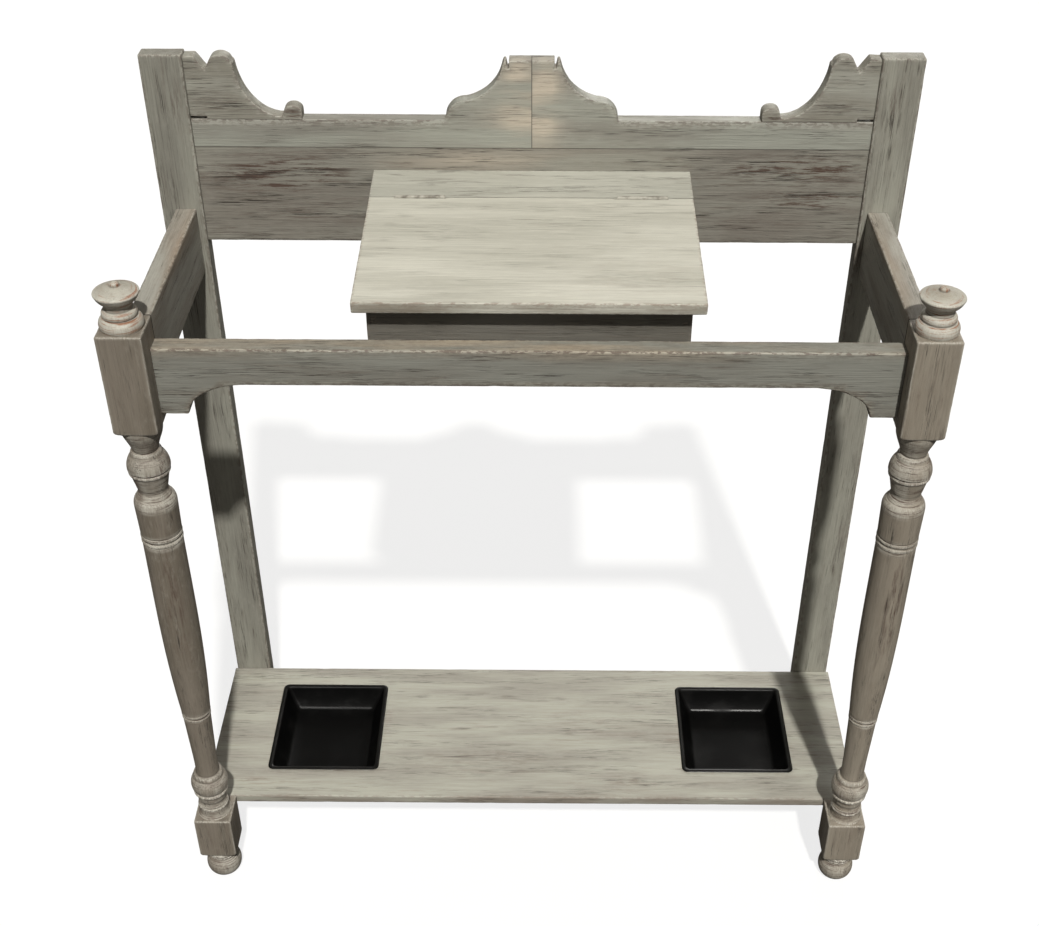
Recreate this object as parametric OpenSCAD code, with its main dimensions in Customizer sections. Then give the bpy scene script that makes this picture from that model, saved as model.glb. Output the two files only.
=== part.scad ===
/* Hall stand for sticks and umbrellas: two flat back posts with a shaped back, two turned
   front legs, three rails, a bottom shelf with two lift-out drip trays, and a glove box
   with a hinged sloping lid. Millimetres, +Z up, the front faces -Y, and the origin is on
   the floor under the middle of the stand. */

/* [Overall] */
// Height of the back posts
total_h = 900; // [800:1:1100]
// Width over the two leg blocks
total_w = 770; // [640:1:940]
// Depth from the front of the leg blocks to the back of the posts
total_d = 278; // [230:1:340]
// Distance from the top of the posts down to the top of the side rails
rail_drop = 159.5; // [130:0.5:195]

/* [Back posts] */
// Width of a post, seen from the front
post_w = 42; // [34:1:56]
// Thickness of a post
post_t = 19; // [18:1:26]
// How far the post's outer face stands inside the leg block's outer face
post_inset = 7; // [0:1:12]
// Depth of the housing that takes the board ends
housing_d = 8; // [4:1:10]
// Length of the sloping end of the housing, below the boards
housing_runout = 22; // [10:1:40]

/* [Back boards] */
// Thickness of the boards and brackets
board_t = 16; // [14:1:18]
// Height of the lower back board
back_board_h = 102.5; // [80:0.5:125]
// Height of the plain strip of the crest boards
strip_h = 28.5; // [22:0.5:40]
// Height of the crest above the strip
crest_h = 60; // [48:1:72]
// Half width of the crest where it leaves the strip
crest_foot_x = 85; // [70:1:105]
// Half width of the crest between its two ears
ear_x = 28.5; // [24:0.5:34]
// Half width of the flat tab at the middle of the crest
tab_x = 22; // [16:0.5:23]

/* [Scroll brackets] */
// Length of a bracket along the strip
bracket_l = 110; // [95:1:130]
// Height of a bracket at the post
bracket_h = 63; // [58:1:76]
// Gap between the post's top and the bracket's top
bracket_drop = 2; // [0:0.5:6]
// Height of the open slot under the bracket, beside the post
slot_h = 2.5; // [0.5:0.5:3]
// Length of that slot
slot_l = 16; // [8:1:24]

/* [Rails] */
// Thickness of the three rails
rail_t = 21; // [18:1:25]
// Height of a side rail
side_rail_h = 72; // [60:1:86]
// How far the front rail's top lies below the side rails' top
front_rail_drop = 24; // [16:1:28]
// Height of the front rail at its two ends
front_rail_h = 70; // [60:1:84]
// Height that is cut from under the front rail's middle
rail_arch_h = 32; // [24:1:38]
// Length of the front rail's flat foot at each end
rail_foot_l = 26; // [18:1:40]
// Length of the curve between the foot and the straight underside
rail_curve_l = 56; // [40:1:70]

/* [Front legs] */
// Side of the square leg blocks
block = 42; // [38:1:50]
// Height of the upper block
upper_block_h = 105; // [98:1:126]
// Height of the lower block
lower_block_h = 59.5; // [50:0.5:72]
// Height of the bun foot under the lower block
foot_h = 42; // [34:1:50]
// Radius of the ball and of the vase shaft at its widest
turn_r = 20.8; // [17:0.1:20.9]
// Radius of the shaft where it is thinnest, above the lower bead
waist_r = 12.6; // [10:0.1:15]

/* [Finials] */
// Radius of the mushroom cap
cap_r = 20.6; // [16:0.1:20.9]
// Height of a finial above the leg block
finial_h = 44.5; // [38:0.5:54]
// Radius of the spigot that holds a finial
spigot_r = 6; // [4:0.5:8]
// Length of the spigot
spigot_l = 24; // [16:1:32]

/* [Shelf] */
// Thickness of the shelf
shelf_t = 11; // [9:1:16]
// How far the shelf's ends stand inside the leg blocks' outer faces
shelf_inset = 4.5; // [0:0.5:10]
// How far the shelf's top lies below the lower block's top
shelf_drop = 1; // [0.5:0.5:8]

/* [Drip trays] */
// Width of a tray over its rim
tray_w = 132; // [110:1:150]
// Depth of a tray below its rim
tray_depth = 26; // [18:1:34]
// Distance from a side rail's inner face in to a tray's rim
tray_side = 30; // [24:1:48]
// Distance from the shelf's back edge to a tray's rim
tray_back = 31; // [20:1:44]
// Distance from the shelf's front edge to a tray's rim
tray_front = 41; // [30:1:56]
// Width of the rim that rests on the shelf
rim_w = 4; // [3:0.5:8]
// How much narrower the floor is than the mouth, on each side
tray_taper = 12; // [6:1:18]
// Thickness of the tray's sheet
sheet_t = 1.2; // [1:0.1:2]
// Radius of the rim's corners
tray_corner_r = 7; // [4:0.5:10]
// Gap all round between a tray and the shelf's cut-out
tray_gap = 1; // [0.5:0.1:1.5]

/* [Glove box] */
// Width of the box over its sides
box_w = 296; // [240:1:310]
// Thickness of the front, back and sides
box_t = 10; // [8:1:13]
// Thickness of the bottom panel
box_bottom_t = 8; // [5:1:10]
// Height of the lid's top above the back board's lower edge, at the back
lid_rise = 79; // [64:1:95]
// Slope of the lid, down towards the front, in degrees
lid_slope = 4.6; // [0:0.1:8]
// Thickness of the lid
lid_t = 11.5; // [10:0.5:14]
// How far the lid and the strip behind it stand out past the box sides
lid_side_over = 11; // [5:1:15]
// How far the lid stands out past the front rail's back face
lid_front_over = 18; // [8:1:24]
// Width of the fixed strip that carries the hinges
hinge_strip_w = 54; // [35:1:70]
// Gap between the lid and the strip
seam = 1; // [0.6:0.1:1.4]
// Gap between the lid and the box that it closes
lid_gap = 0.3; // [0.2:0.1:0.6]

/* [Hinges] */
// Length of a butt hinge
hinge_l = 50; // [40:1:60]
// Distance from the lid's end to a hinge's middle
hinge_inset = 50; // [36:1:70]
// Radius of the hinge pin
pin_r = 1; // [0.8:0.1:1.2]
// Radius of the knuckles
knuckle_r = 2.2; // [1.9:0.1:2.6]
// Height of a leaf below the pin
leaf_h = 9.5; // [8.5:0.5:9.5]
// Thickness of a leaf
leaf_t = 1.2; // [0.8:0.1:1.4]
// Running clearance of the pin in the moving knuckles
pin_gap = 0.05; // [0.02:0.01:0.1]
// Clearance between the knuckles, and round them
knuckle_gap = 0.3; // [0.2:0.05:0.4]

/* [Fixings] */
// Radius of the dowels in the boards and rails
dowel_r = 4; // [3:0.5:5]
// Length of those dowels
dowel_l = 32; // [24:1:36]
// Radius of the shelf's and brackets' small dowels
small_dowel_r = 3; // [2:0.5:3.5]
// Shank radius of the screws that hold the shelf to the posts
screw_r = 2; // [1.5:0.1:2.5]
// Length of those screws
screw_l = 46; // [38:1:60]
// Radius of the glove box's nails
nail_r = 1; // [0.7:0.1:1.3]
// Length of the nails
nail_l = 28; // [20:1:34]
// Shank radius of the hinge screws
hinge_screw_r = 1.1; // [0.8:0.1:1.3]
// Length of the hinge screws
hinge_screw_l = 13; // [9:1:18]
// Glue line left round each dowel, screw and spigot
glue_gap = 0.05; // [0.02:0.01:0.1]

/* [Hidden] */
$fn = 48;

SIDES = [-1, 1];
PAINT = "#a7a598";
PALE = "#bdbbae";
WOOD = "#8a7a63";
IRON = "#191918";
STEEL = "#8f8d86";

// Planes that several pieces share
back_y = total_d / 2;
post_front_y = back_y - post_t;
board_front_y = back_y - board_t;
board_mid_y = back_y - board_t / 2;
leg_x = total_w / 2 - block / 2;
leg_y = -total_d / 2 + block / 2;
leg_back_y = leg_y + block / 2;
inner_x = total_w / 2 - block;
post_out_x = total_w / 2 - post_inset;
post_in_x = post_out_x - post_w;
rail_mid_x = inner_x + rail_t / 2;

// Heights
rail_top = total_h - rail_drop;
upper_block_z = rail_top - upper_block_h;
lower_block_top = foot_h + lower_block_h;
shelf_top = lower_block_top - shelf_drop;
strip_top = total_h - bracket_drop - bracket_h;
crest_z = strip_top - strip_h;
board_z = crest_z - back_board_h;
front_rail_top = rail_top - front_rail_drop;
front_rail_z = front_rail_top - front_rail_h;
box_z = front_rail_z + rail_arch_h;
board_half_l = post_in_x + housing_d;

// The lid's top plane runs through the seam, which is also the hinge line
lid_back_z = board_z + lid_rise;
seam_y = board_front_y - hinge_strip_w * cos(lid_slope);
seam_z = lid_back_z - hinge_strip_w * sin(lid_slope);
lid_front_y = leg_back_y - lid_front_over;
lid_l = (seam_y - lid_front_y) / cos(lid_slope);
lid_half_w = box_w / 2 + lid_side_over;
hinge_x = lid_half_w - hinge_inset;

// A point on the lid's slope, u up the slope towards the back and w square to it
function slope_pt(u, w) =
    [seam_y + u * cos(lid_slope) - w * sin(lid_slope),
     seam_z + u * sin(lid_slope) + w * cos(lid_slope)];
// Height of the box's top edges at a given y, just under the lid
function box_top(y) =
    seam_z + (y - seam_y) * tan(lid_slope) - (lid_t + lid_gap) / cos(lid_slope);
function arc(c, rx, ry, a0, a1, n) =
    [for (i = [0:n]) let (a = a0 + (a1 - a0) * i / n) c + [rx * cos(a), ry * sin(a)]];
function bezier(a, b, c, d, n) =
    [for (i = [0:n]) let (t = i / n, s = 1 - t)
        s * s * s * a + 3 * s * s * t * b + 3 * s * t * t * c + t * t * t * d];
// Bead between z0 and z1 that swells from r to r + out
function bead(r, out, z0, z1) = arc([r, (z0 + z1) / 2], out, (z1 - z0) / 2, -90, 90, 8);
// Row of n places spread over a length and centred on zero
function spread(n, l) = [for (i = [0:n - 1]) n == 1 ? 0 : l * (i / (n - 1) - 0.5)];

module mirrored(side) {
    mirror([side < 0 ? 1 : 0, 0, 0]) children();
}
// Prism with its outline in the YZ plane, from x0 to x1
module x_prism(outline, x0, x1) {
    translate([x0, 0, 0]) rotate([90, 0, 90]) linear_extrude(height = x1 - x0) polygon(outline);
}
// Prism with its outline in the XZ plane, from y0 to y1
module y_prism(outline, y0, y1) {
    translate([0, y1, 0]) rotate([90, 0, 0]) linear_extrude(height = y1 - y0) polygon(outline);
}
module slab(x0, x1, y0, y1, z0, z1) {
    translate([x0, y0, z0]) cube([x1 - x0, y1 - y0, z1 - z0]);
}
// Round pegs centred on a point; grow makes the hole that takes the peg
module x_peg(p, r, l, grow) {
    translate(p) rotate([0, 90, 0]) cylinder(r = r + grow, h = l + 2 * grow, center = true);
}
module y_peg(p, r, l, grow) {
    translate(p) rotate([90, 0, 0]) cylinder(r = r + grow, h = l + 2 * grow, center = true);
}
module z_peg(p, r, l, grow) {
    translate(p) cylinder(r = r + grow, h = l + 2 * grow, center = true);
}
// Slotted countersunk screw along -Z with its head's top at the origin
module screw(r, l, grow) {
    head_r = 2 * r;
    head_h = head_r - r;
    slot_d = head_h / 3;
    difference() {
        union() {
            translate([0, 0, -head_h]) cylinder(r1 = r + grow, r2 = head_r + grow, h = head_h);
            translate([0, 0, -l - grow]) cylinder(r = r + grow, h = l + grow);
        }
        if (grow == 0)
            translate([-head_r, -slot_d / 2, -slot_d]) cube([2 * head_r, slot_d, 2 * slot_d]);
    }
}

// ---- fixings, each drawn solid with grow 0 and as its holes with grow > 0 ----

// Dowels in the ends of the back board and the crest boards. The lowest lies above the side
// rails, so that it misses their dowels inside the posts
module board_pegs(grow) {
    heights = [max(board_z, rail_top) + 3 * dowel_r, crest_z - 3 * dowel_r,
               crest_z + strip_h / 2];
    for (side = SIDES, z = heights)
        x_peg([side * board_half_l, board_mid_y, z], dowel_r, dowel_l, grow);
}
// Dowels between the back board and the crest boards, and across the middle seam
module crest_pegs(grow) {
    for (side = SIDES, x = spread(3, board_half_l * 0.7))
        z_peg([side * board_half_l / 2 + x, board_mid_y, crest_z], dowel_r, dowel_l, grow);
    x_peg([0, board_mid_y, crest_z + strip_h + crest_h / 2], dowel_r, dowel_l, grow);
}
// Small dowels under the scroll brackets
module bracket_pegs(grow) {
    for (side = SIDES, x = [slot_l + 3 * small_dowel_r, slot_l + 9 * small_dowel_r])
        z_peg([side * (post_in_x - x), board_mid_y, strip_top], small_dowel_r, dowel_l / 2, grow);
}
// Heights of the dowels, set so that those of the side and front rails miss each other
side_peg_z = [rail_top - 3 * dowel_r, rail_top - side_rail_h + 3 * dowel_r];
front_peg_z = [front_rail_top - 2.5 * dowel_r, front_rail_z + 3.5 * dowel_r];
// Dowels at both ends of the three rails; those in the posts stay clear of the boards' housing
module rail_pegs(grow) {
    peg_l = min(dowel_l, 1.6 * post_t);
    post_peg_x = max(rail_mid_x, board_half_l + 1.5 * dowel_r);
    for (side = SIDES, z = side_peg_z) {
        y_peg([side * post_peg_x, post_front_y, z], dowel_r, peg_l, grow);
        y_peg([side * rail_mid_x, leg_back_y, z], dowel_r, peg_l, grow);
    }
    for (side = SIDES, z = front_peg_z)
        x_peg([side * inner_x, leg_back_y - rail_t / 2, z], dowel_r, dowel_l, grow);
}
// Small dowels between the shelf's front edge and the lower leg blocks
module shelf_pegs(grow) {
    for (side = SIDES, x = spread(2, block / 2))
        y_peg([side * leg_x + x, leg_back_y, shelf_top - shelf_t / 2],
              small_dowel_r, dowel_l * 0.8, grow);
}
// Screws through the posts from behind into the shelf's back edge
module post_screws(grow) {
    for (side = SIDES, x = spread(2, post_w / 2))
        translate([side * (post_in_x + post_w / 2) + x, back_y, shelf_top - shelf_t / 2])
            rotate([-90, 0, 0]) screw(screw_r, screw_l, grow);
}
// Nails through the box's front and back boards into the ends of its sides
module nails(grow) {
    nail_x = (box_w - box_t) / 2;
    for (side = SIDES, k = [0.25, 0.75]) {
        z = box_z + k * (box_top(leg_back_y) - box_z);
        y_peg([side * nail_x, leg_back_y + nail_l / 2, z], nail_r, nail_l, grow);
        y_peg([side * nail_x, board_front_y - nail_l / 2, z], nail_r, nail_l, grow);
    }
}

// ---- back ----

module back_post() {
    color(PAINT) difference() {
        slab(post_in_x, post_out_x, post_front_y, back_y, 0, total_h);
        x_prism([[board_front_y, board_z], [back_y, board_z - housing_runout],
                 [back_y, strip_top], [board_front_y, strip_top]],
                post_in_x, post_in_x + housing_d);
        board_pegs(glue_gap);
        rail_pegs(glue_gap);
        post_screws(glue_gap);
    }
}
module back_board() {
    color(PAINT) difference() {
        slab(-board_half_l, board_half_l, board_front_y, back_y, board_z, crest_z);
        board_pegs(glue_gap);
        crest_pegs(glue_gap);
    }
}
// Half of the crest: strip, round shoulder, hollow sweep up to an ear, notch and tab
module crest_board() {
    shoulder_r = 20;
    ear_h = crest_h - 5;
    ear_tip = 4;
    notch_w = 1.5;
    notch_h = crest_h - 8;
    sweep_h = ear_h - shoulder_r;
    sweep_w = crest_foot_x - shoulder_r - ear_x;
    outline = concat(
        [[0, 0], [board_half_l, 0], [board_half_l, strip_h]],
        arc([crest_foot_x - shoulder_r, strip_h], shoulder_r, shoulder_r, 0, 90, 8),
        bezier([ear_x + sweep_w - 1, strip_h + shoulder_r],
               [ear_x + sweep_w * 0.6, strip_h + shoulder_r + 3],
               [ear_x + sweep_w * 0.12, strip_h + shoulder_r + sweep_h * 0.4],
               [ear_x, strip_h + ear_h], 10),
        [[ear_x - 1.5, strip_h + ear_h + ear_tip], [tab_x + 2 * notch_w, strip_h + ear_h + ear_tip],
         [tab_x + notch_w, strip_h + notch_h], [tab_x, strip_h + notch_h],
         [tab_x, strip_h + crest_h], [0, strip_h + crest_h]]);
    color(PAINT) difference() {
        translate([0, 0, crest_z]) y_prism(outline, board_front_y, back_y);
        board_pegs(glue_gap);
        crest_pegs(glue_gap);
        bracket_pegs(glue_gap);
    }
}
// Corner bracket: flat end at the post, V notch, round hump, hollow sweep and domed end
module scroll_bracket() {
    flat_l = 10.5;
    notch = [20, bracket_h - 13.5];
    hump_c = [35, bracket_h - 7];
    hump_r = [10.5, 8];
    scroll_r = 9;
    scroll_side = 6.5;
    scroll_dome = 7.2;
    sweep_c = [bracket_l - 2 * scroll_r - 1, bracket_h + 1];
    sweep_r = [sweep_c[0] - hump_c[0] - hump_r[0] - 1.5, bracket_h - 2];
    outline = concat(
        [[0, slot_h], [0, bracket_h - 0.5], [flat_l, bracket_h], notch],
        arc(hump_c, hump_r[0], hump_r[1], 155, 10, 8),
        arc(sweep_c, sweep_r[0], sweep_r[1], 188, 270, 12),
        arc([bracket_l - scroll_r, scroll_side], scroll_r, scroll_dome, 180, 0, 8),
        [[bracket_l, 0], [slot_l, 0], [slot_l, slot_h]]);
    color(PAINT) difference() {
        translate([post_in_x, 0, strip_top]) mirror([1, 0, 0])
            y_prism(outline, board_front_y, back_y);
        bracket_pegs(glue_gap);
    }
}

// ---- rails ----

module side_rail() {
    color(PAINT) difference() {
        slab(inner_x, inner_x + rail_t, leg_back_y, post_front_y, rail_top - side_rail_h, rail_top);
        rail_pegs(glue_gap);
    }
}
// Deep at both ends, with a flat foot and a quarter-ellipse up to the straight underside
module front_rail() {
    foot_x = inner_x - rail_foot_l;
    curve_x = foot_x - rail_curve_l;
    right_edge = arc([curve_x, 0], rail_curve_l, rail_arch_h, 90, 0, 10);
    left_edge = [for (i = [len(right_edge) - 1:-1:0]) [-right_edge[i][0], right_edge[i][1]]];
    outline = concat([[-inner_x, front_rail_h], [-inner_x, 0]], left_edge, right_edge,
                     [[inner_x, 0], [inner_x, front_rail_h]]);
    color(PAINT) difference() {
        translate([0, 0, front_rail_z]) y_prism(outline, leg_back_y - rail_t, leg_back_y);
        rail_pegs(glue_gap);
    }
}

// ---- front legs ----

// Turned outline from the lower block's top up to the waist
function lower_turning(z) = concat(
    [[0, z], [19, z]],
    arc([20.5, z + 8], 4.4, 7, -115, -185, 4),
    bead(15.6, 1.7, z + 12, z + 16),
    arc([18.6, z + 22], 3.6, 5, -125, -230, 4),
    [[16.4, z + 31]],
    bead(17, turn_r - 18.4, z + 33.5, z + 39),
    [[turn_r - 2.6, z + 39.6]],
    arc([14, z + 48], turn_r - 14, 12, -45, 60, 7),
    [[waist_r + 4, z + 59.2]],
    arc([waist_r + 1, z + 59.6], 3.2, 6, 0, 75, 4));
// Turned outline of the upper part: ring pair, shoulder, ball, neck and ogee under the block
function upper_turning(z) = concat(
    [[turn_r - 0.8, z - 136]],
    bead(turn_r - 1.1, 0.9, z - 135, z - 131),
    [[turn_r - 1.5, z - 130]],
    bead(turn_r - 1.1, 0.9, z - 129, z - 125),
    [[turn_r - 0.6, z - 124]],
    arc([turn_r - 5, z - 90], 5.2, 10, 0, 75, 6),
    [[17, z - 79.5], [15.6, z - 77.5]],
    arc([18.6, z - 73], 4.4, 5, -130, -215, 5),
    [[turn_r - 2.6, z - 55.5]],
    bead(turn_r - 2.2, 1.6, z - 53.5, z - 49),
    arc([0, z - 46.5], turn_r, 22, -2, 38, 7),
    [[15.6, z - 32.4], [15.4, z - 31.2]],
    arc([11.8, z - 31], 3.4, 4.6, 0, 80, 4),
    bezier([13, z - 24.5], [15.5, z - 14], [19.8, z - 10], [20.2, z], 8),
    [[0, z]]);
// Vase shaft between them, with a ring pair low on its tapering part
function shaft(z0, z1) = let (l = z1 - z0, pair_z = z0 + l * 0.28, pair_r = turn_r - 5.4)
    concat(
        bezier([waist_r + 0.4, z0], [waist_r, z0 + 4], [waist_r, z0 + 12],
               [waist_r + 0.3, z0 + 26], 6),
        [[pair_r - 0.5, pair_z - 6]],
        bead(pair_r - 0.8, 0.9, pair_z - 5, pair_z - 1.6),
        [[pair_r - 1, pair_z - 0.8]],
        bead(pair_r - 0.6, 0.9, pair_z, pair_z + 3.4),
        bezier([pair_r + 0.2, pair_z + 4], [pair_r + 3.4, pair_z + l * 0.15],
               [turn_r - 0.3, pair_z + l * 0.28], [turn_r - 0.5, pair_z + l * 0.5], 8));
// Bun foot with a fillet under the block
function foot(z) = concat(
    [[0, 0], [11, 0]],
    arc([11, z * 0.34], 9.2, z * 0.34, -70, 60, 8),
    [[14.8, z * 0.68], [16.6, z * 0.72]],
    arc([13, z * 0.82], 4.4, z * 0.09, -60, 80, 4),
    [[15.6, z], [0, z]]);
// Square block whose lower corners the lathe has rounded off
module leg_block(z, h) {
    round_h = 9;
    intersection() {
        translate([-block / 2, -block / 2, z]) cube([block, block, h]);
        rotate_extrude() polygon(concat(
            [[0, z]],
            arc([block / 2 + 2, z + round_h], block * 0.21, round_h, -90, 0, 6),
            [[block, z + round_h], [block, z + h], [0, z + h]]));
    }
}

module front_leg() {
    lower_end = 66;
    upper_start = 137;
    turning = concat(lower_turning(lower_block_top),
                     shaft(lower_block_top + lower_end, upper_block_z - upper_start),
                     upper_turning(upper_block_z));
    color(PAINT) difference() {
        translate([leg_x, leg_y, 0]) union() {
            rotate_extrude() polygon(foot(foot_h));
            leg_block(foot_h, lower_block_h);
            rotate_extrude() polygon(turning);
            leg_block(upper_block_z, upper_block_h);
        }
        z_peg([leg_x, leg_y, rail_top - spigot_l / 2], spigot_r, spigot_l, glue_gap);
        rail_pegs(glue_gap);
        shelf_pegs(glue_gap);
    }
}
// Mushroom cap with a worn nub, short neck, two-step base and a spigot into the leg
module finial() {
    h = finial_h;
    base_z = 0.1;
    base_r = 0.165;
    outline = concat(
        [[0, -spigot_l], [spigot_r - 1, -spigot_l], [spigot_r, 1 - spigot_l], [spigot_r, 0]],
        arc([14.4, h * base_z], 5.8, h * base_r, -asin(base_z / base_r), 72, 7),
        [[15.4, h * 0.27], [15.3, h * 0.275]],
        arc([12.4, h * 0.33], 3.8, h * 0.1, -30, 80, 5),
        [[12.6, h * 0.44], [12.5, h * 0.5]],
        bezier([13.2, h * 0.53], [15, h * 0.6], [cap_r - 3, h * 0.62], [cap_r - 1, h * 0.72], 6),
        arc([cap_r - 1.4, h * 0.775], 1.4, h * 0.035, -40, 60, 4),
        bezier([cap_r - 1.6, h * 0.815], [14, h * 0.88], [8, h * 0.91], [4.8, h * 0.92], 6),
        [[4.2, h * 0.93]],
        arc([1.6, h * 0.95], 2.6, h * 0.05, 5, 90, 5),
        [[0, h]]);
    color(PALE) translate([leg_x, leg_y, rail_top]) rotate_extrude() polygon(outline);
}

// ---- shelf and drip trays ----

tray_x = inner_x - tray_side - tray_w / 2;
tray_l = post_front_y - leg_back_y - tray_back - tray_front;
tray_y = leg_back_y + tray_front + tray_l / 2;

module bottom_shelf() {
    half_w = total_w / 2 - shelf_inset;
    cut_w = tray_w - 2 * rim_w + 2 * tray_gap;
    cut_l = tray_l - 2 * rim_w + 2 * tray_gap;
    color(PALE) difference() {
        slab(-half_w, half_w, leg_back_y, post_front_y, shelf_top - shelf_t, shelf_top);
        for (side = SIDES)
            translate([side * tray_x - cut_w / 2, tray_y - cut_l / 2, shelf_top - 2 * shelf_t])
                cube([cut_w, cut_l, 3 * shelf_t]);
        shelf_pegs(glue_gap);
        post_screws(glue_gap);
    }
}
// Rounded rectangle plate, h thick, standing on z
module plate(w, l, r, z, h) {
    translate([0, 0, z]) linear_extrude(height = h) hull()
        for (x = [-1, 1], y = [-1, 1])
            translate([x * (w / 2 - r), y * (l / 2 - r)]) circle(r = r, $fn = 32);
}
// Tapered tub that is inset from the tray's rim by in0 at the top and in1 at the bottom
module tub(in0, in1, z0, z1) {
    thin = 0.01;
    hull() {
        plate(tray_w - 2 * in0, tray_l - 2 * in0, tray_corner_r - 2, z1 - thin, thin);
        plate(tray_w - 2 * in1, tray_l - 2 * in1, tray_corner_r - 2, z0, thin);
    }
}
// Sheet iron tray with a flat rim that rests on the shelf
module drip_tray() {
    mouth = rim_w + sheet_t;
    base = rim_w + tray_taper;
    color(IRON) translate([tray_x, tray_y, shelf_top]) difference() {
        union() {
            plate(tray_w, tray_l, tray_corner_r, 0, sheet_t);
            tub(rim_w, base, -tray_depth, sheet_t / 2);
        }
        tub(mouth, base + sheet_t, sheet_t - tray_depth, 2 * sheet_t);
    }
}

// ---- glove box ----

// Upright board across the box between y0 and y1, its top cut to the lid's slope
module cross_board(y0, y1) {
    x_prism([[y0, box_z], [y1, box_z], [y1, box_top(y1)], [y0, box_top(y0)]],
            -box_w / 2, box_w / 2);
}
module box_front() {
    color(PAINT) difference() {
        cross_board(leg_back_y, leg_back_y + box_t);
        nails(glue_gap);
    }
}
module box_back() {
    color(PAINT) difference() {
        cross_board(board_front_y - box_t, board_front_y);
        nails(glue_gap);
    }
}
module box_side() {
    y0 = leg_back_y + box_t;
    y1 = board_front_y - box_t;
    color(PAINT) difference() {
        x_prism([[y0, box_z], [y1, box_z], [y1, box_top(y1)], [y0, box_top(y0)]],
                box_w / 2 - box_t, box_w / 2);
        nails(glue_gap);
    }
}
module box_bottom() {
    half_w = box_w / 2 - box_t;
    color(WOOD) slab(-half_w, half_w, leg_back_y + box_t, board_front_y - box_t,
                     box_z, box_z + box_bottom_t);
}
// Groove for the knuckles and beds for the leaves of both hinges, on one side of the seam
module hinge_beds(towards) {
    for (side = SIDES)
        hinge_frame(side) {
            x_peg([0, 0, 0], knuckle_r + knuckle_gap, hinge_l, glue_gap);
            translate([-hinge_l / 2 - glue_gap, towards > 0 ? 0 : -seam / 2 - leaf_t, -leaf_h])
                cube([hinge_l + 2 * glue_gap, seam / 2 + leaf_t, leaf_h]);
        }
}
module hinge_strip() {
    bottom = -lid_t - lid_gap;
    back_bottom_z = lid_back_z + bottom / cos(lid_slope);
    color(PALE) difference() {
        x_prism([slope_pt(seam / 2, 0), slope_pt(seam / 2, bottom),
                 [board_front_y, back_bottom_z], [board_front_y, lid_back_z]],
                -lid_half_w, lid_half_w);
        hinge_beds(1);
        leaf_screws(1, glue_gap);
    }
}
module lid() {
    color(PALE) difference() {
        x_prism([slope_pt(-seam / 2, 0), slope_pt(-seam / 2, -lid_t),
                 slope_pt(-lid_l, -lid_t), slope_pt(-lid_l, 0)], -lid_half_w, lid_half_w);
        hinge_beds(-1);
        leaf_screws(-1, glue_gap);
    }
}

// ---- hinges, drawn about their pin: +Y up the slope, +Z square to it ----

KNUCKLES = 5;
knuckle_l = hinge_l / KNUCKLES;

module hinge_frame(side) {
    translate([side * hinge_x, seam_y, seam_z]) rotate([lid_slope, 0, 0]) children();
}
// One leaf with its knuckles; towards is 1 for the strip's side and -1 for the lid's
module leaf(towards, first, bore_r) {
    plate_y = towards > 0 ? seam / 2 : -seam / 2 - leaf_t;
    screw_z = -(leaf_h + knuckle_r) / 2;
    plate_top = -knuckle_r - knuckle_gap;
    difference() {
        union() {
            translate([-hinge_l / 2, plate_y, -leaf_h])
                cube([hinge_l, leaf_t, leaf_h + plate_top]);
            for (i = [first:2:KNUCKLES - 1]) {
                x = (i + 0.5) * knuckle_l - hinge_l / 2;
                l = knuckle_l - knuckle_gap;
                x_peg([x, 0, 0], knuckle_r, l, 0);
                translate([x - l / 2, plate_y, -leaf_h]) cube([l, leaf_t, leaf_h - pin_r]);
            }
        }
        x_peg([0, 0, 0], bore_r, hinge_l, 1);
        for (x = spread(3, hinge_l * 0.7))
            leaf_screw(towards, x, screw_z, glue_gap);
    }
}
// Screw through a leaf, its head flush with the leaf's face in the seam
module leaf_screw(towards, x, z, grow) {
    translate([x, towards * seam / 2, z]) rotate([towards * 90, 0, 0])
        screw(hinge_screw_r, hinge_screw_l, grow);
}
module leaf_screws(towards, grow) {
    for (side = SIDES, x = spread(3, hinge_l * 0.7))
        hinge_frame(side) leaf_screw(towards, x, -(leaf_h + knuckle_r) / 2, grow);
}
module fixed_leaf(side) {
    color(STEEL) hinge_frame(side) leaf(1, 0, pin_r);
}
module moving_leaf(side) {
    color(STEEL) hinge_frame(side) leaf(-1, 1, pin_r + pin_gap);
}
module hinge_pin(side) {
    color(STEEL) hinge_frame(side) x_peg([0, 0, 0], pin_r, hinge_l, 0);
}

mirrored(-1) back_post();  // back_post_left
back_post();  // back_post_right
back_board();
mirrored(-1) crest_board();  // crest_board_left
crest_board();  // crest_board_right
mirrored(-1) scroll_bracket();  // scroll_bracket_left
scroll_bracket();  // scroll_bracket_right
mirrored(-1) side_rail();  // side_rail_left
side_rail();  // side_rail_right
front_rail();
mirrored(-1) front_leg();  // front_leg_left
front_leg();  // front_leg_right
mirrored(-1) finial();  // finial_left
finial();  // finial_right
bottom_shelf();
mirrored(-1) drip_tray();  // drip_tray_left
drip_tray();  // drip_tray_right
box_front();
mirrored(-1) box_side();  // box_side_left
box_side();  // box_side_right
box_back();
box_bottom();
hinge_strip();
lid();
fixed_leaf(-1);  // fixed_leaf_left
fixed_leaf(1);  // fixed_leaf_right
moving_leaf(-1);  // moving_leaf_left
moving_leaf(1);  // moving_leaf_right
hinge_pin(-1);  // hinge_pin_left
hinge_pin(1);  // hinge_pin_right
color(STEEL) leaf_screws(1, 0);  // fixed_leaf_screws
color(STEEL) leaf_screws(-1, 0);  // moving_leaf_screws
color(WOOD) board_pegs(0);  // board_dowels
color(WOOD) crest_pegs(0);  // crest_dowels
color(WOOD) bracket_pegs(0);  // bracket_dowels
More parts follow.
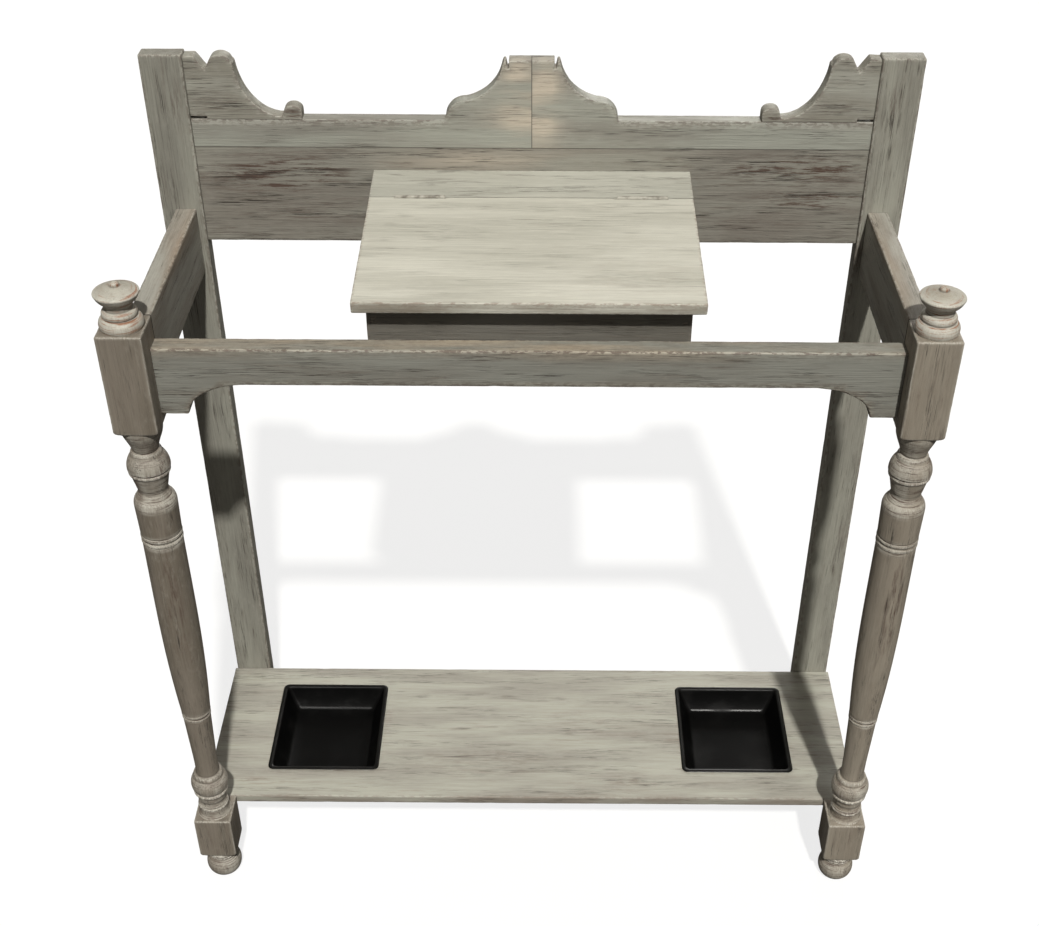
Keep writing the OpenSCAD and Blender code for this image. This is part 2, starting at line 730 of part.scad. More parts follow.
color(WOOD) rail_pegs(0);  // rail_dowels
color(WOOD) shelf_pegs(0);  // shelf_dowels
color(STEEL) post_screws(0);  // shelf_screws
color(STEEL) nails(0);  // box_nails
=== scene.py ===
"""Dresses the hall stand: worn timbers, turned legs, drip trays, finishes, studio and camera.

Lengths inside the classes are in millimetres, in the stand's own frame: +X to the right of
someone facing it, +Y towards the wall, +Z up, with the origin on the floor under its middle.
"""

import logging
import math
from dataclasses import dataclass, field
from enum import Enum
from typing import Any

import bmesh
import bpy
import numpy as np
from mathutils import Matrix, Vector, noise


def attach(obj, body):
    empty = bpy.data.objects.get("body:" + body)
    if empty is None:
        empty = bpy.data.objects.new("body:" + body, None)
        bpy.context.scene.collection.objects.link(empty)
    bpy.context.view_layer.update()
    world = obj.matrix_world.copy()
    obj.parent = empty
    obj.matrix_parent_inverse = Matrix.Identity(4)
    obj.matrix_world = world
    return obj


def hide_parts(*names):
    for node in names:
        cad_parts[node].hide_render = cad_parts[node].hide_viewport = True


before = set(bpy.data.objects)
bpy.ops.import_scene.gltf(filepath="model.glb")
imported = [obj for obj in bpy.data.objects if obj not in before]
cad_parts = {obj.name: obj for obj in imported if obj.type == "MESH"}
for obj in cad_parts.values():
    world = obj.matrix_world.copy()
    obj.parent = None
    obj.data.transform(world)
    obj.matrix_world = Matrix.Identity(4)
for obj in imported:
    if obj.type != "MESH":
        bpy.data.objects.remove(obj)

LOG = logging.getLogger("hall_stand")
MM = 0.001
SIDES = {"left": -1, "right": 1}
# painted shade: the left pieces are painted darker than the right, for the light that falls from the right;
# main colour, and where it is thin
POST_PAINT_SHADED_LEFT = {"left": ("#8e8d83", "#7c7a71"), "right": ("#9a998e", "#88867c")}
LEG_PAINT_SHADED_LEFT = {"left": ("#7f776c", "#70685c"), "right": ("#90887b", "#81786b")}

Point2 = tuple[float, float]
Point3 = tuple[float, float, float]

# sockets of a node that mixes two colours
FACTOR, FIRST, SECOND, MIXED = 0, 6, 7, 2

# how a timber is meshed, in millimetres
EDGE_ROW = 3.2  # width of the narrow row beside an edge
EDGE_ROWS = 6.0  # what the two rows take from the even slices
THIN = 8.0  # a timber thinner than this isn't sliced that way
JOINT_ROW = 0.9  # width of the row on each side of a joint
JOINT_LINE = 0.8  # half width of the dark line in a joint
KNOCK_REACH = 2.6  # how far a knock reaches in from an arris
KNOCK_SCALES = (0.11, 0.33)  # large and small knocks, in knocks a millimetre
SMALL_KNOCK = 0.6  # depth of the small ones beside the large
ARRIS_TURN = 24  # an edge that turns by more than this many degrees is an arris

# how a turning is meshed, in millimetres
PROFILE_STEP = 2.2  # greatest distance between points of the profile
RELIEF_REACH = 3.5  # how much of the profile round a point counts in its relief
RAISED, SUNK, SUNK_FROM = 0.75, 0.9, 0.15  # relief that gives full wear and painted highlight on a bead, and full painted shade in a groove
BAND_EDGE = 3.0  # width over which a turned band fades in


class Plane(Enum):
    """The plane that a timber's outline is drawn in; it is sawn square to that plane."""

    XZ = (0, 2, 1)
    XY = (0, 1, 2)
    YZ = (1, 2, 0)


class Grain(Enum):
    """The way the grain runs: the index of an axis, or round a turning."""

    X = 0
    Y = 1
    Z = 2
    ROUND = 3


class WearAndPaintedLight(Enum):
    """Marks that are stored on the mesh, one weight a point, for the finishes to read: wear, stains and
    painted light.
    """

    # the arris weight gives edge wear, and on arrises and beads a painted highlight
    ARRIS = "arris"
    # the hollow weight gives dark joints, and painted shade in the turnings' grooves
    HOLLOW = "hollow"
    RUB = "rub"
    TAN = "tan"
    TURNED = "turned"


# ---- curves that the outlines are made of ----


def arc(cx: float, cy: float, rx: float, ry: float, a0: float, a1: float, n: int = 14) -> list[Point2]:
    """Gives points along an elliptical arc.

    Args:
        cx: Centre, first coordinate.
        cy: Centre, second coordinate.
        rx: Radius along the first coordinate.
        ry: Radius along the second coordinate.
        a0: Start angle in degrees.
        a1: End angle in degrees.
        n: Number of chords.

    Returns:
        n + 1 points.
    """
    angles = np.radians(np.linspace(a0, a1, n + 1))
    return [(cx + rx * math.cos(a), cy + ry * math.sin(a)) for a in angles]


def bezier(p0: Point2, p1: Point2, p2: Point2, p3: Point2, n: int = 16) -> list[Point2]:
    """Gives points along a cubic curve.

    Args:
        p0: Its start.
        p1: The handle at its start.
        p2: The handle at its end.
        p3: Its end.
        n: Number of chords.

    Returns:
        n + 1 points.
    """
    t = np.linspace(0, 1, n + 1)[:, None]
    s = 1 - t
    a, b, c, d = (np.array(p, float) for p in (p0, p1, p2, p3))
    curve = s**3 * a + 3 * s * s * t * b + 3 * s * t * t * c + t**3 * d
    return [tuple(p) for p in curve]


def bead(r: float, out: float, z0: float, z1: float) -> list[Point2]:
    """Gives a half-round bead on a turning.

    Args:
        r: The radius that it stands on.
        out: How far it stands out.
        z0: Its lower edge.
        z1: Its upper edge.

    Returns:
        Its points, from the bottom up.
    """
    return arc(r, (z0 + z1) / 2, out, (z1 - z0) / 2, -90, 90, 10)


# ---- meshes ----


@dataclass(frozen=True)
class Patch:
    """A place where the finish is worn or stained.

    Attributes:
        kind: Which weight it adds to.
        at: Its centre.
        size: Its half lengths along X, Y and Z.
        strength: The weight at its centre.
    """

    kind: WearAndPaintedLight
    at: Point3
    size: Point3
    strength: float = 1.0


def store(mesh: bpy.types.Mesh, weights: dict[WearAndPaintedLight, np.ndarray]) -> None:
    """Writes wear weights on a mesh.

    Args:
        mesh: The mesh.
        weights: One number a point for each kind of wear.
    """
    for kind, values in weights.items():
        layer = mesh.attributes.new(kind.value, "FLOAT", "POINT")
        layer.data.foreach_set("value", np.clip(values, 0, 1).astype(np.float32))


def patched(points: np.ndarray, patches: tuple[Patch, ...], kind: WearAndPaintedLight) -> np.ndarray:
    """Sums the patches of one kind at each point.

    Args:
        points: Points in millimetres.
        patches: The patches of the piece.
        kind: The kind of wear.

    Returns:
        One weight a point.
    """
    total = np.zeros(len(points))
    for p in patches:
        if p.kind is kind:
            d = (points - np.array(p.at)) / np.array(p.size)
            total += p.strength * np.exp(-(d * d).sum(1))
    return total


def distance_to_edges(points: np.ndarray, edges: np.ndarray) -> np.ndarray:
    """Gives each point's distance to the nearest of some straight edges.

    Args:
        points: Points, one a row.
        edges: Edges as an array of shape (n, 2, 3).

    Returns:
        One distance a point.
    """
    best = np.full(len(points), 1e9)
    for a, b in edges:
        ab = b - a
        t = np.clip((points - a) @ ab / max(ab @ ab, 1e-9), 0, 1)
        best = np.minimum(best, np.linalg.norm(points - a - t[:, None] * ab, axis=1))
    return best


def object_from(name: str, bm: bmesh.types.BMesh, crease: float) -> bpy.types.Object:
    """Turns a bmesh in millimetres into a smooth-shaded object in metres.

    Args:
        name: The object's name.
        bm: The mesh, which is freed.
        crease: Edges that turn by more than this many degrees stay sharp.

    Returns:
        The object, linked to the scene.
    """
    bmesh.ops.recalc_face_normals(bm, faces=bm.faces[:])
    bm.transform(Matrix.Scale(MM, 4))
    mesh = bpy.data.meshes.new(name)
    bm.to_mesh(mesh)
    bm.free()
    mesh.polygons.foreach_set("use_smooth", [True] * len(mesh.polygons))
    mesh.set_sharp_from_angle(angle=math.radians(crease))
    obj = bpy.data.objects.new(name, mesh)
    bpy.context.scene.collection.objects.link(obj)
    return obj


@dataclass
class Timber:
    """A sawn timber with softened, knocked arrises.

    Attributes:
        name: Its name.
        plane: The plane of its outline.
        w0: Where it starts, square to that plane.
        w1: Where it ends.
        outline: The outline's points in order, or none where cells are given.
        cells: Rectangles (u0, u1, v0, v1) that make up a plan with openings in it.
        arris: Radius of the softened arris.
        pitch: Distance between the slices that give the faces points for wear.
        knocks: Depth of the knocks along the arrises.
        wear_width: How far wear and the painted highlight reach in from an arris.
        joints: Planes, as axis and place, where the timber meets a neighbour in a dark line.
        joint_slack: How far an edge may lie from such a plane and still be left crisp.
        patches: Worn and stained places.
    """

    name: str
    plane: Plane
    w0: float
    w1: float
    outline: list[Point2] = field(default_factory=list)
    cells: list[tuple[float, float, float, float]] = field(default_factory=list)
    arris: float = 1.3
    pitch: float = 9.0
    knocks: float = 0.3
    wear_width: float = 4.0
    joints: tuple[tuple[int, float], ...] = ()
    joint_slack: float = 0.01
    patches: tuple[Patch, ...] = ()

    def _place(self, u: float, v: float, w: float) -> Vector:
        """Puts a point of the outline into the stand's frame.

        Args:
            u: Its first coordinate in the outline's plane.
            v: Its second coordinate.
            w: Its place square to the plane.

        Returns:
            The point.
        """
        out = [0.0, 0.0, 0.0]
        for axis, value in zip(self.plane.value, (u, v, w)):
            out[axis] = value
        return Vector(out)

    def _solid(self) -> bmesh.types.BMesh:
        """Makes the sharp-edged solid from the outline or the cells.

        Returns:
            A closed mesh.
        """
        bm = bmesh.new()
        loops = [self.outline] if self.outline else [
            [(a, c), (b, c), (b, d), (a, d)] for a, b, c, d in self.cells
        ]
        sides: dict[tuple[Point2, Point2], int] = {}
        for w in (self.w0, self.w1):
            known: dict[Point2, Any] = {}
            for loop in loops:
                for p in loop:
                    if p not in known:
                        known[p] = bm.verts.new(self._place(*p, w))
                bm.faces.new([known[p] for p in loop])
            if w == self.w0:
                low = known
        for loop in loops:
            for a, b in zip(loop, loop[1:] + loop[:1]):
                sides[(a, b)] = 1
        for a, b in sides:
            if (b, a) not in sides:
                bm.faces.new([low[a], low[b], known[b], known[a]])
        bmesh.ops.recalc_face_normals(bm, faces=bm.faces[:])
        return bm

    def _slice(self, bm: bmesh.types.BMesh) -> None:
        """Cuts the faces into cells about one pitch wide, with a narrow row by each edge.

        Args:
            bm: The solid.
        """
        co = np.array([v.co for v in bm.verts])
        for axis in range(3):
            lo, hi = co[:, axis].min(), co[:, axis].max()
            normal = [0.0, 0.0, 0.0]
            normal[axis] = 1.0
            inner = max(int((hi - lo - EDGE_ROWS) / self.pitch), 1)
            places: list[float] = []
            if hi - lo > THIN:
                places += list(np.linspace(lo + EDGE_ROW, hi - EDGE_ROW, inner + 1))
            for joint_axis, at in self.joints:
                if joint_axis == axis:
                    places += [at - JOINT_ROW, at + JOINT_ROW]
            for place in places:
                at = [0.0, 0.0, 0.0]
                at[axis] = place
                geom = bm.verts[:] + bm.edges[:] + bm.faces[:]
                bmesh.ops.bisect_plane(bm, geom=geom, plane_co=at, plane_no=normal)

    def build(self) -> bpy.types.Object:
        """Makes the timber.

        Returns:
            The object, with its wear weights.
        """
        bm = self._solid()
        sharp = [
            e for e in bm.edges
            if e.calc_face_angle(0.0) > math.radians(ARRIS_TURN)
            and not any(all(abs(v.co[a] - at) < self.joint_slack for v in e.verts) for a, at in self.joints)
        ]
        edges = np.array([[v.co for v in e.verts] for e in sharp])
        bmesh.ops.bevel(
            bm, geom=sharp, offset=self.arris, segments=3, profile=0.5, affect="EDGES", clamp_overlap=True
        )
        self._slice(bm)
        bm.normal_update()
        co = np.array([v.co for v in bm.verts])
        near = distance_to_edges(co, edges)
        for vert, d in zip(bm.verts, near):
            if d < KNOCK_REACH and self.knocks:
                large, small = (noise.noise(vert.co * scale) for scale in KNOCK_SCALES)
                vert.co -= vert.normal * self.knocks * max(large + SMALL_KNOCK * small, 0.0)
        obj = object_from(self.name, bm, 50)
        dark = patched(co, self.patches, WearAndPaintedLight.HOLLOW)
        for axis, at in self.joints:
            dark = np.maximum(dark, 1.2 - np.abs(co[:, axis] - at) / JOINT_LINE)
        # the arris weight gives edge wear and a painted highlight along the arrises
        store(obj.data, {
            WearAndPaintedLight.ARRIS: np.clip(1 - near / self.wear_width, 0, 1) ** 1.6,
            WearAndPaintedLight.HOLLOW: dark,
            WearAndPaintedLight.RUB: patched(co, self.patches, WearAndPaintedLight.RUB),
            WearAndPaintedLight.TAN: patched(co, self.patches, WearAndPaintedLight.TAN),
            WearAndPaintedLight.TURNED: np.zeros(len(co)),
        })
        return obj


@dataclass
class Turning:
    """A round piece from the lathe.

    Attributes:
        name: Its name.
        axis: Where its centre line stands, as x and y.
        profile: Radius and height pairs, from the bottom up.
        patches: Worn and stained places.
        turned: Bands, as heights from and to, where the marks run round it.
        steps: Number of facets round it.
    """

    name: str
    axis: Point2
    profile: list[Point2]
    patches: tuple[Patch, ...] = ()
    turned: tuple[Point2, ...] = ()
    steps: int = 72

    def _fine(self) -> np.ndarray:
        """Gives the profile with its points close together.

        Returns:
            Radius and height pairs, one a row.
        """
        points = [np.array(self.profile[0], float)]
        for p in self.profile[1:]:
            a, b = points[-1], np.array(p, float)
            n = max(1, math.ceil(np.linalg.norm(b - a) / PROFILE_STEP))
            points += [a + (b - a) * i / n for i in range(1, n + 1)]
        return np.array(points)

    @staticmethod
    def _relief(fine: np.ndarray, reach: float) -> np.ndarray:
        """Tells how far each point stands out from the profile round it.

        Args:
            fine: The profile.
            reach: How far along the profile counts, in millimetres.

        Returns:
            Millimetres, below zero in a hollow.
        """
        step = np.linalg.norm(np.diff(fine, axis=0), axis=1)
        along = np.concatenate([[0], np.cumsum(step)])
        weight = np.exp(-(((along[:, None] - along[None, :]) / reach) ** 2))
        weight *= np.concatenate([[0], step]) + np.concatenate([step, [0]])
        mean = (weight @ fine) / weight.sum(1)[:, None]
        way = np.gradient(fine, axis=0)
        outward = np.stack([way[:, 1], -way[:, 0]], 1)
        outward /= np.maximum(np.linalg.norm(outward, axis=1), 1e-6)[:, None]
        return ((fine - mean) * outward).sum(1)

    def build(self) -> bpy.types.Object:
        """Makes the turning.

        Returns:
            The object. Its raised beads carry the arris weight, wear with a painted highlight, and its quirks
            carry the hollow weight, which is painted shade.
        """
        fine = self._fine()
        relief = self._relief(fine, RELIEF_REACH)
        bm = bmesh.new()
        turns = np.linspace(0, 2 * math.pi, self.steps, endpoint=False)
        rings, reliefs = [], []
        for (radius, height), raised in zip(fine, relief):
            ring = [
                bm.verts.new((
                    self.axis[0] + max(radius, 0.01) * math.cos(t),
                    self.axis[1] + max(radius, 0.01) * math.sin(t),
                    height,
                ))
                for t in turns
            ]
            rings.append(ring)
            reliefs += [raised] * self.steps
        for low, high in zip(rings, rings[1:]):
            for i in range(self.steps):
                j = (i + 1) % self.steps
                bm.faces.new([low[i], low[j], high[j], high[i]])
        bm.faces.new(rings[0])
        bm.faces.new(rings[-1])
        co = np.array([v.co for v in bm.verts])
        obj = object_from(self.name, bm, 42)
        relief_at = np.array(reliefs)
        inside = np.zeros(len(co))
        for low, high in self.turned:
            depth = np.minimum(co[:, 2] - low, high - co[:, 2]) / BAND_EDGE
            inside = np.maximum(inside, np.clip(depth + 0.5, 0, 1))
        # painted light from the relief: beads paler with a painted highlight, quirks darker with painted
        # shade
        store(obj.data, {
            WearAndPaintedLight.ARRIS: relief_at / RAISED,
            WearAndPaintedLight.HOLLOW: -relief_at / SUNK - SUNK_FROM + patched(co, self.patches, WearAndPaintedLight.HOLLOW),
            WearAndPaintedLight.RUB: patched(co, self.patches, WearAndPaintedLight.RUB),
            WearAndPaintedLight.TAN: patched(co, self.patches, WearAndPaintedLight.TAN),
            WearAndPaintedLight.TURNED: inside,
        })
        return obj


def join(name: str, pieces: list[bpy.types.Object]) -> bpy.types.Object:
    """Joins objects into one and names it.

    Args:
        name: The name of the result.
        pieces: The objects, of which the first is kept.

    Returns:
        The joined object.
    """
    with bpy.context.temp_override(active_object=pieces[0], selected_editable_objects=pieces):
        bpy.ops.object.join()
    pieces[0].name = name
    pieces[0].data.name = name
    return pieces[0]


def carve(obj: bpy.types.Object, cutter: bpy.types.Object) -> None:
    """Cuts one object's shape out of another.

    Args:
        obj: The object that is cut.
        cutter: The shape to take away, which is left as it is.
    """
    cut = obj.modifiers.new("cut", "BOOLEAN")
    cut.operation, cut.solver, cut.object = "DIFFERENCE", "EXACT", cutter
    graph = bpy.context.evaluated_depsgraph_get()
    mesh = bpy.data.meshes.new_from_object(obj.evaluated_get(graph))
    obj.modifiers.clear()
    mesh.name = obj.name
    obj.data = mesh


# ---- finishes ----


def linear(code: str) -> tuple[float, float, float, float]:
    """Turns an sRGB hex colour into linear RGBA.

    Args:
        code: The colour, as # and six hex digits.

    Returns:
        Red, green, blue and an alpha of 1.
    """
    out = []
    for i in (1, 3, 5):
        c = int(code[i : i + 2], 16) / 255
        out.append(c / 12.92 if c <= 0.04045 else ((c + 0.055) / 1.055) ** 2.4)
    return (*out, 1.0)


def add(
    tree: bpy.types.NodeTree,
    kind: str,
    props: dict[str, Any] | None = None,
    values: dict[Any, Any] | None = None,
    links: dict[Any, Any] | None = None,
) -> bpy.types.Node:
    """Adds a node with its settings and links.

    Args:
        tree: The node tree.
        kind: The node's Blender type.
        props: Properties to set.
        values: Input values by name or number.
        links: Output sockets to link to inputs, by name or number.

    Returns:
        The node.
    """
    made = tree.nodes.new(kind)
    for key, value in (props or {}).items():
        setattr(made, key, value)
    for key, value in (values or {}).items():
        made.inputs[key].default_value = value
    for key, socket in (links or {}).items():
        tree.links.new(socket, made.inputs[key])
    return made


def new_tree(name: str) -> tuple[bpy.types.Material, bpy.types.NodeTree]:
    """Makes an empty node material.

    Args:
        name: Its name.

    Returns:
        The material and its node tree.
    """
    material = bpy.data.materials.new(name)
    material.use_nodes = True
    material.node_tree.nodes.clear()
    return material, material.node_tree


@dataclass(frozen=True)
class Pattern:
    """A stretched cloud pattern.

    Attributes:
        across: Size of its features across the grain, in millimetres.
        along: Their size along the grain.
        low: Cloud value that gives 0.
        high: Cloud value that gives 1.
        detail: Levels of finer detail.
        rough: How strong the finer detail is.
    """

    across: float
    along: float
    low: float
    high: float
    detail: float = 3.0
    rough: float = 0.55

    def build(self, tree: bpy.types.NodeTree, grain: Grain, seed: float) -> bpy.types.NodeSocket:
        """Adds the pattern to a tree.

        Args:
            tree: The node tree.
            grain: The way the grain runs.
            seed: Moves the pattern, so that no two pieces match.

        Returns:
            The socket that carries it, 0 to 1.
        """
        scale = [1000 / self.across] * 3
        for axis in (0, 1) if grain is Grain.ROUND else (grain.value,):
            scale[axis] = 1000 / self.along
        where = add(tree, "ShaderNodeTexCoord")
        mapped = add(
            tree, "ShaderNodeMapping", {"vector_type": "POINT"},
            {"Scale": scale, "Location": (seed * 3.7, seed * 1.9, seed * 2.3)},
            {"Vector": where.outputs["Object"]},
        )
        cloud = add(
            tree, "ShaderNodeTexNoise", {"noise_dimensions": "3D"},
            {"Scale": 1.0, "Detail": self.detail, "Roughness": self.rough},
            {"Vector": mapped.outputs["Vector"]},
        )
        span = add(
            tree, "ShaderNodeMapRange", {"interpolation_type": "SMOOTHSTEP"},
            {"From Min": self.low, "From Max": self.high}, {"Value": cloud.outputs[0]},
        )
        return span.outputs["Result"]


@dataclass(frozen=True)
class ChalkPaintedOak:
    """Oak under brushed chalk paint that was rubbed back.

    The paint is thin and dry, so the eye gets a soft sheen, dark open pores in lines along the
    grain, brush drag in the same direction, and brown oak wherever hands and feet have rubbed.

    Attributes:
        name: The material's name.
        grain: The way the grain runs.
        paint: The paint's main colour.
        warm: Its colour where it is thin.
        light: The top coat that catches on what stands proud, also laid on arrises and beads as a painted
            highlight.
        seed: Moves the patterns.
        pores: How strongly the open pores show.
        rubbed: How much oak shows through away from the arrises.
        edge_coat_and_highlight: How strongly the arrises catch the top coat and a painted highlight.
        edge_bare: How strongly the arrises are rubbed to the oak.
        pore: Colour of the pores, also of the dark joints and of the painted shade in turned grooves.
        dirt: Colour of the paint where it is handled.
        oak: Colour of the bare oak.
        tan: Colour of an old stain under the paint.
    """

    name: str
    grain: Grain
    paint: str
    warm: str
    light: str
    seed: float = 0.0
    pores: float = 0.6
    rubbed: float = 0.35
    edge_coat_and_highlight: float = 0.7
    edge_bare: float = 0.5
    pore: str = "#38332d"
    dirt: str = "#6f6a60"
    oak: str = "#53433a"
    tan: str = "#bab0a0"

    def build(self) -> bpy.types.Material:
        """Makes the material.

        Returns:
            The material, which reads the wear weights of the mesh it is on.
        """
        material, tree = new_tree(self.name)
        # oak pores are 0.3 mm wide: drawn 0.6 mm wide, so that they show
        table = {
            "cloud": Pattern(30, 210, 0.36, 0.64, 4.0),
            "drag": Pattern(1.3, 60, 0.28, 0.72, 4.0, 0.7),
            "pore": Pattern(0.6, 30, 0.575, 0.615, 2.0, 0.5),
            "crack": Pattern(0.9, 85, 0.625, 0.65, 4.0, 0.6),
            "zone": Pattern(11, 105, 0.48, 0.62, 4.0, 0.6),
            "smudge": Pattern(6.5, 60, 0.46, 0.72, 6.0, 0.7),
            "rub": Pattern(3.6, 42, 0.46, 0.62, 6.0, 0.78),
            "veil": Pattern(6, 16, 0.5, 0.7, 5.0, 0.7),
            "spot": Pattern(2.6, 6, 0.46, 0.56, 3.0, 0.65),
        }
        cloth = {
            key: pattern.build(tree, self.grain, self.seed + i * 0.37)
            for i, (key, pattern) in enumerate(table.items())
        }
        cloth["lathe"] = Pattern(1.3, 26, 0.5, 0.64, 4.0, 0.65).build(tree, Grain.ROUND, self.seed)
        # the mesh weights: wear and stains, with the arris and hollow weights also carrying painted highlight
        # and painted shade
        worn = {
            w: add(tree, "ShaderNodeAttribute", {"attribute_name": w.value}).outputs["Fac"] for w in WearAndPaintedLight
        }
        # each mask is the product of two of the above and a share
        products = {
            "smudge": (cloth["smudge"], cloth["zone"], self.rubbed * 1.6),
            "veil": (cloth["veil"], cloth["cloud"], 0.16),
            "pores": (cloth["pore"], cloth["zone"], self.pores * 1.5),
            "cracks": (cloth["crack"], cloth["cloud"], self.pores * 0.9),
            "all": (cloth["rub"], cloth["smudge"], self.rubbed * 1.3),
            "rub": (worn[WearAndPaintedLight.RUB], cloth["rub"], 1.5),
            "tan": (worn[WearAndPaintedLight.TAN], cloth["cloud"], 1.2),
            "pale": (worn[WearAndPaintedLight.TURNED], cloth["cloud"], 0.55),
            "lathe": (worn[WearAndPaintedLight.TURNED], cloth["lathe"], 1.0),
            # paler arrises and beads: the top coat, and a painted highlight
            "edge": (worn[WearAndPaintedLight.ARRIS], cloth["drag"], self.edge_coat_and_highlight * 1.5),
            "bare": (worn[WearAndPaintedLight.ARRIS], cloth["spot"], self.edge_bare * 1.6),
            # darker hollows: dark joints, and painted shade in the turnings' grooves
            "groove": (worn[WearAndPaintedLight.HOLLOW], worn[WearAndPaintedLight.HOLLOW], 1.0),
        }
        mask: dict[str, bpy.types.NodeSocket] = {}
        for key, (a, b, share) in products.items():
            both = add(tree, "ShaderNodeMath", {"operation": "MULTIPLY"}, None, {0: a, 1: b})
            mask[key] = add(
                tree, "ShaderNodeMath", {"operation": "MULTIPLY", "use_clamp": True}, {1: share},
                {0: both.outputs[0]},
            ).outputs[0]
        shade = add(
            tree, "ShaderNodeMapRange", None, {"To Min": 0.9, "To Max": 1.08}, {"Value": cloth["drag"]}
        )
        base = add(
            tree, "ShaderNodeMix", {"data_type": "RGBA"},
            {FIRST: linear(self.paint), SECOND: linear(self.warm)}, {FACTOR: cloth["cloud"]},
        ).outputs[MIXED]
        dragged = add(
            tree, "ShaderNodeVectorMath", {"operation": "SCALE"}, None,
            {0: base, "Scale": shade.outputs["Result"]},
        )
        colour = dragged.outputs[0]
        # of these, edge is partly a painted highlight and groove partly painted shade
        layers = (
            ("tan", self.tan), ("smudge", self.dirt), ("pale", self.light), ("veil", self.light),
            ("all", self.oak), ("lathe", self.oak), ("rub", self.oak), ("pores", self.pore),
            ("cracks", self.pore), ("edge", self.light), ("bare", self.oak), ("groove", self.pore),
        )
        for key, tone in layers:
            colour = add(
                tree, "ShaderNodeMix", {"data_type": "RGBA"}, {SECOND: linear(tone)},
                {FACTOR: mask[key], FIRST: colour},
            ).outputs[MIXED]
        rough = add(
            tree, "ShaderNodeMapRange", None, {"To Min": 0.5, "To Max": 0.72}, {"Value": cloth["cloud"]}
        )
        cut = add(
            tree, "ShaderNodeMath", {"operation": "MAXIMUM"}, None, {0: mask["pores"], 1: mask["cracks"]}
        )
        height = add(
            tree, "ShaderNodeMath", {"operation": "SUBTRACT"}, None, {0: cloth["drag"], 1: cut.outputs[0]}
        )
        bump = add(
            tree, "ShaderNodeBump", None, {"Strength": 0.5, "Distance": 0.0004},
            {"Height": height.outputs[0]},
        )
        shader = add(
            tree, "ShaderNodeBsdfPrincipled", None, {"IOR": 1.5},
            {"Base Color": colour, "Roughness": rough.outputs["Result"], "Normal": bump.outputs["Normal"]},
        )
        add(tree, "ShaderNodeOutputMaterial", None, None, {"Surface": shader.outputs[0]})
        return material


@dataclass(frozen=True)
class JapannedIron:
    """Folded sheet iron under baked black japan.

    It is near black, and its satin skin gives a soft grey sheen, with dust and fine scuffs
    where wet ferrules have stood.

    Attributes:
        name: The material's name.
        black: The japan's colour.
        dust: The colour of dust and scuffs.
    """

    name: str = "japanned sheet iron, satin"
    black: str = "#040404"
    dust: str = "#252421"

    def build(self) -> bpy.types.Material:
        """Makes the material.

        Returns:
            The material.
        """
        material, tree = new_tree(self.name)
        # scuffs are about 1 mm wide and 7 mm long, and dust gathers in clouds 30 mm across
        dust = Pattern(30, 34, 0.45, 0.8, 5.0, 0.65).build(tree, Grain.X, 1.3)
        scuff = Pattern(1.1, 7, 0.66, 0.76, 2.0).build(tree, Grain.X, 4.1)
        peel = Pattern(2.2, 2.2, 0.3, 0.7, 2.0).build(tree, Grain.X, 2.2)
        edge = add(tree, "ShaderNodeAttribute", {"attribute_name": WearAndPaintedLight.ARRIS.value}).outputs["Fac"]
        colour = add(tree, "ShaderNodeRGB").outputs[0]
        colour.default_value = linear(self.black)
        for factor, share in ((dust, 0.08), (scuff, 0.3), (edge, 0.22)):
            amount = add(tree, "ShaderNodeMath", {"operation": "MULTIPLY"}, {1: share}, {0: factor})
            colour = add(
                tree, "ShaderNodeMix", {"data_type": "RGBA"}, {SECOND: linear(self.dust)},
                {FACTOR: amount.outputs[0], FIRST: colour},
            ).outputs[MIXED]
        rough = add(tree, "ShaderNodeMapRange", None, {"To Min": 0.32, "To Max": 0.6}, {"Value": dust})
        bump = add(tree, "ShaderNodeBump", None, {"Strength": 0.12, "Distance": 0.0002}, {"Height": peel})
        shader = add(
            tree, "ShaderNodeBsdfPrincipled", None, {"IOR": 1.5, "Specular IOR Level": 0.16},
            {"Base Color": colour, "Roughness": rough.outputs["Result"], "Normal": bump.outputs["Normal"]},
        )
        add(tree, "ShaderNodeOutputMaterial", None, None, {"Surface": shader.outputs[0]})
        return material


@dataclass(frozen=True)
class Fitting:
    """A small fixing: plain metal or turned dowel, dulled by age.

    It shows a brushed tone broken by darker tarnish or grain.

    Attributes:
        name: The material's name.
        tone: Its main colour.
        dark: The colour of tarnish or grain.
        metallic: 1 for bare metal and 0 for wood or paint.
        rough: Its roughness.
        grain: The way its marks run.
    """

    name: str
    tone: str
    dark: str
    metallic: float
    rough: float
    grain: Grain = Grain.X

    def build(self) -> bpy.types.Material:
        """Makes the material.

        Returns:
            The material.
        """
        material, tree = new_tree(self.name)
        marks = Pattern(0.8, 9, 0.35, 0.7, 3.0).build(tree, self.grain, 0.6)
        bloom = Pattern(5, 8, 0.4, 0.7, 4.0).build(tree, self.grain, 2.6)
        first = add(
            tree, "ShaderNodeMix", {"data_type": "RGBA"},
            {FIRST: linear(self.tone), SECOND: linear(self.dark)}, {FACTOR: bloom},
        )
        rough = add(
            tree, "ShaderNodeMapRange", None, {"To Min": self.rough, "To Max": self.rough + 0.2},
            {"Value": marks},
        )
        bump = add(tree, "ShaderNodeBump", None, {"Strength": 0.2, "Distance": 0.0001}, {"Height": marks})
        shader = add(
            tree, "ShaderNodeBsdfPrincipled", None, {"Metallic": self.metallic},
            {"Base Color": first.outputs[MIXED], "Roughness": rough.outputs["Result"],
             "Normal": bump.outputs["Normal"]},
        )
        add(tree, "ShaderNodeOutputMaterial", None, None, {"Surface": shader.outputs[0]})
        return material


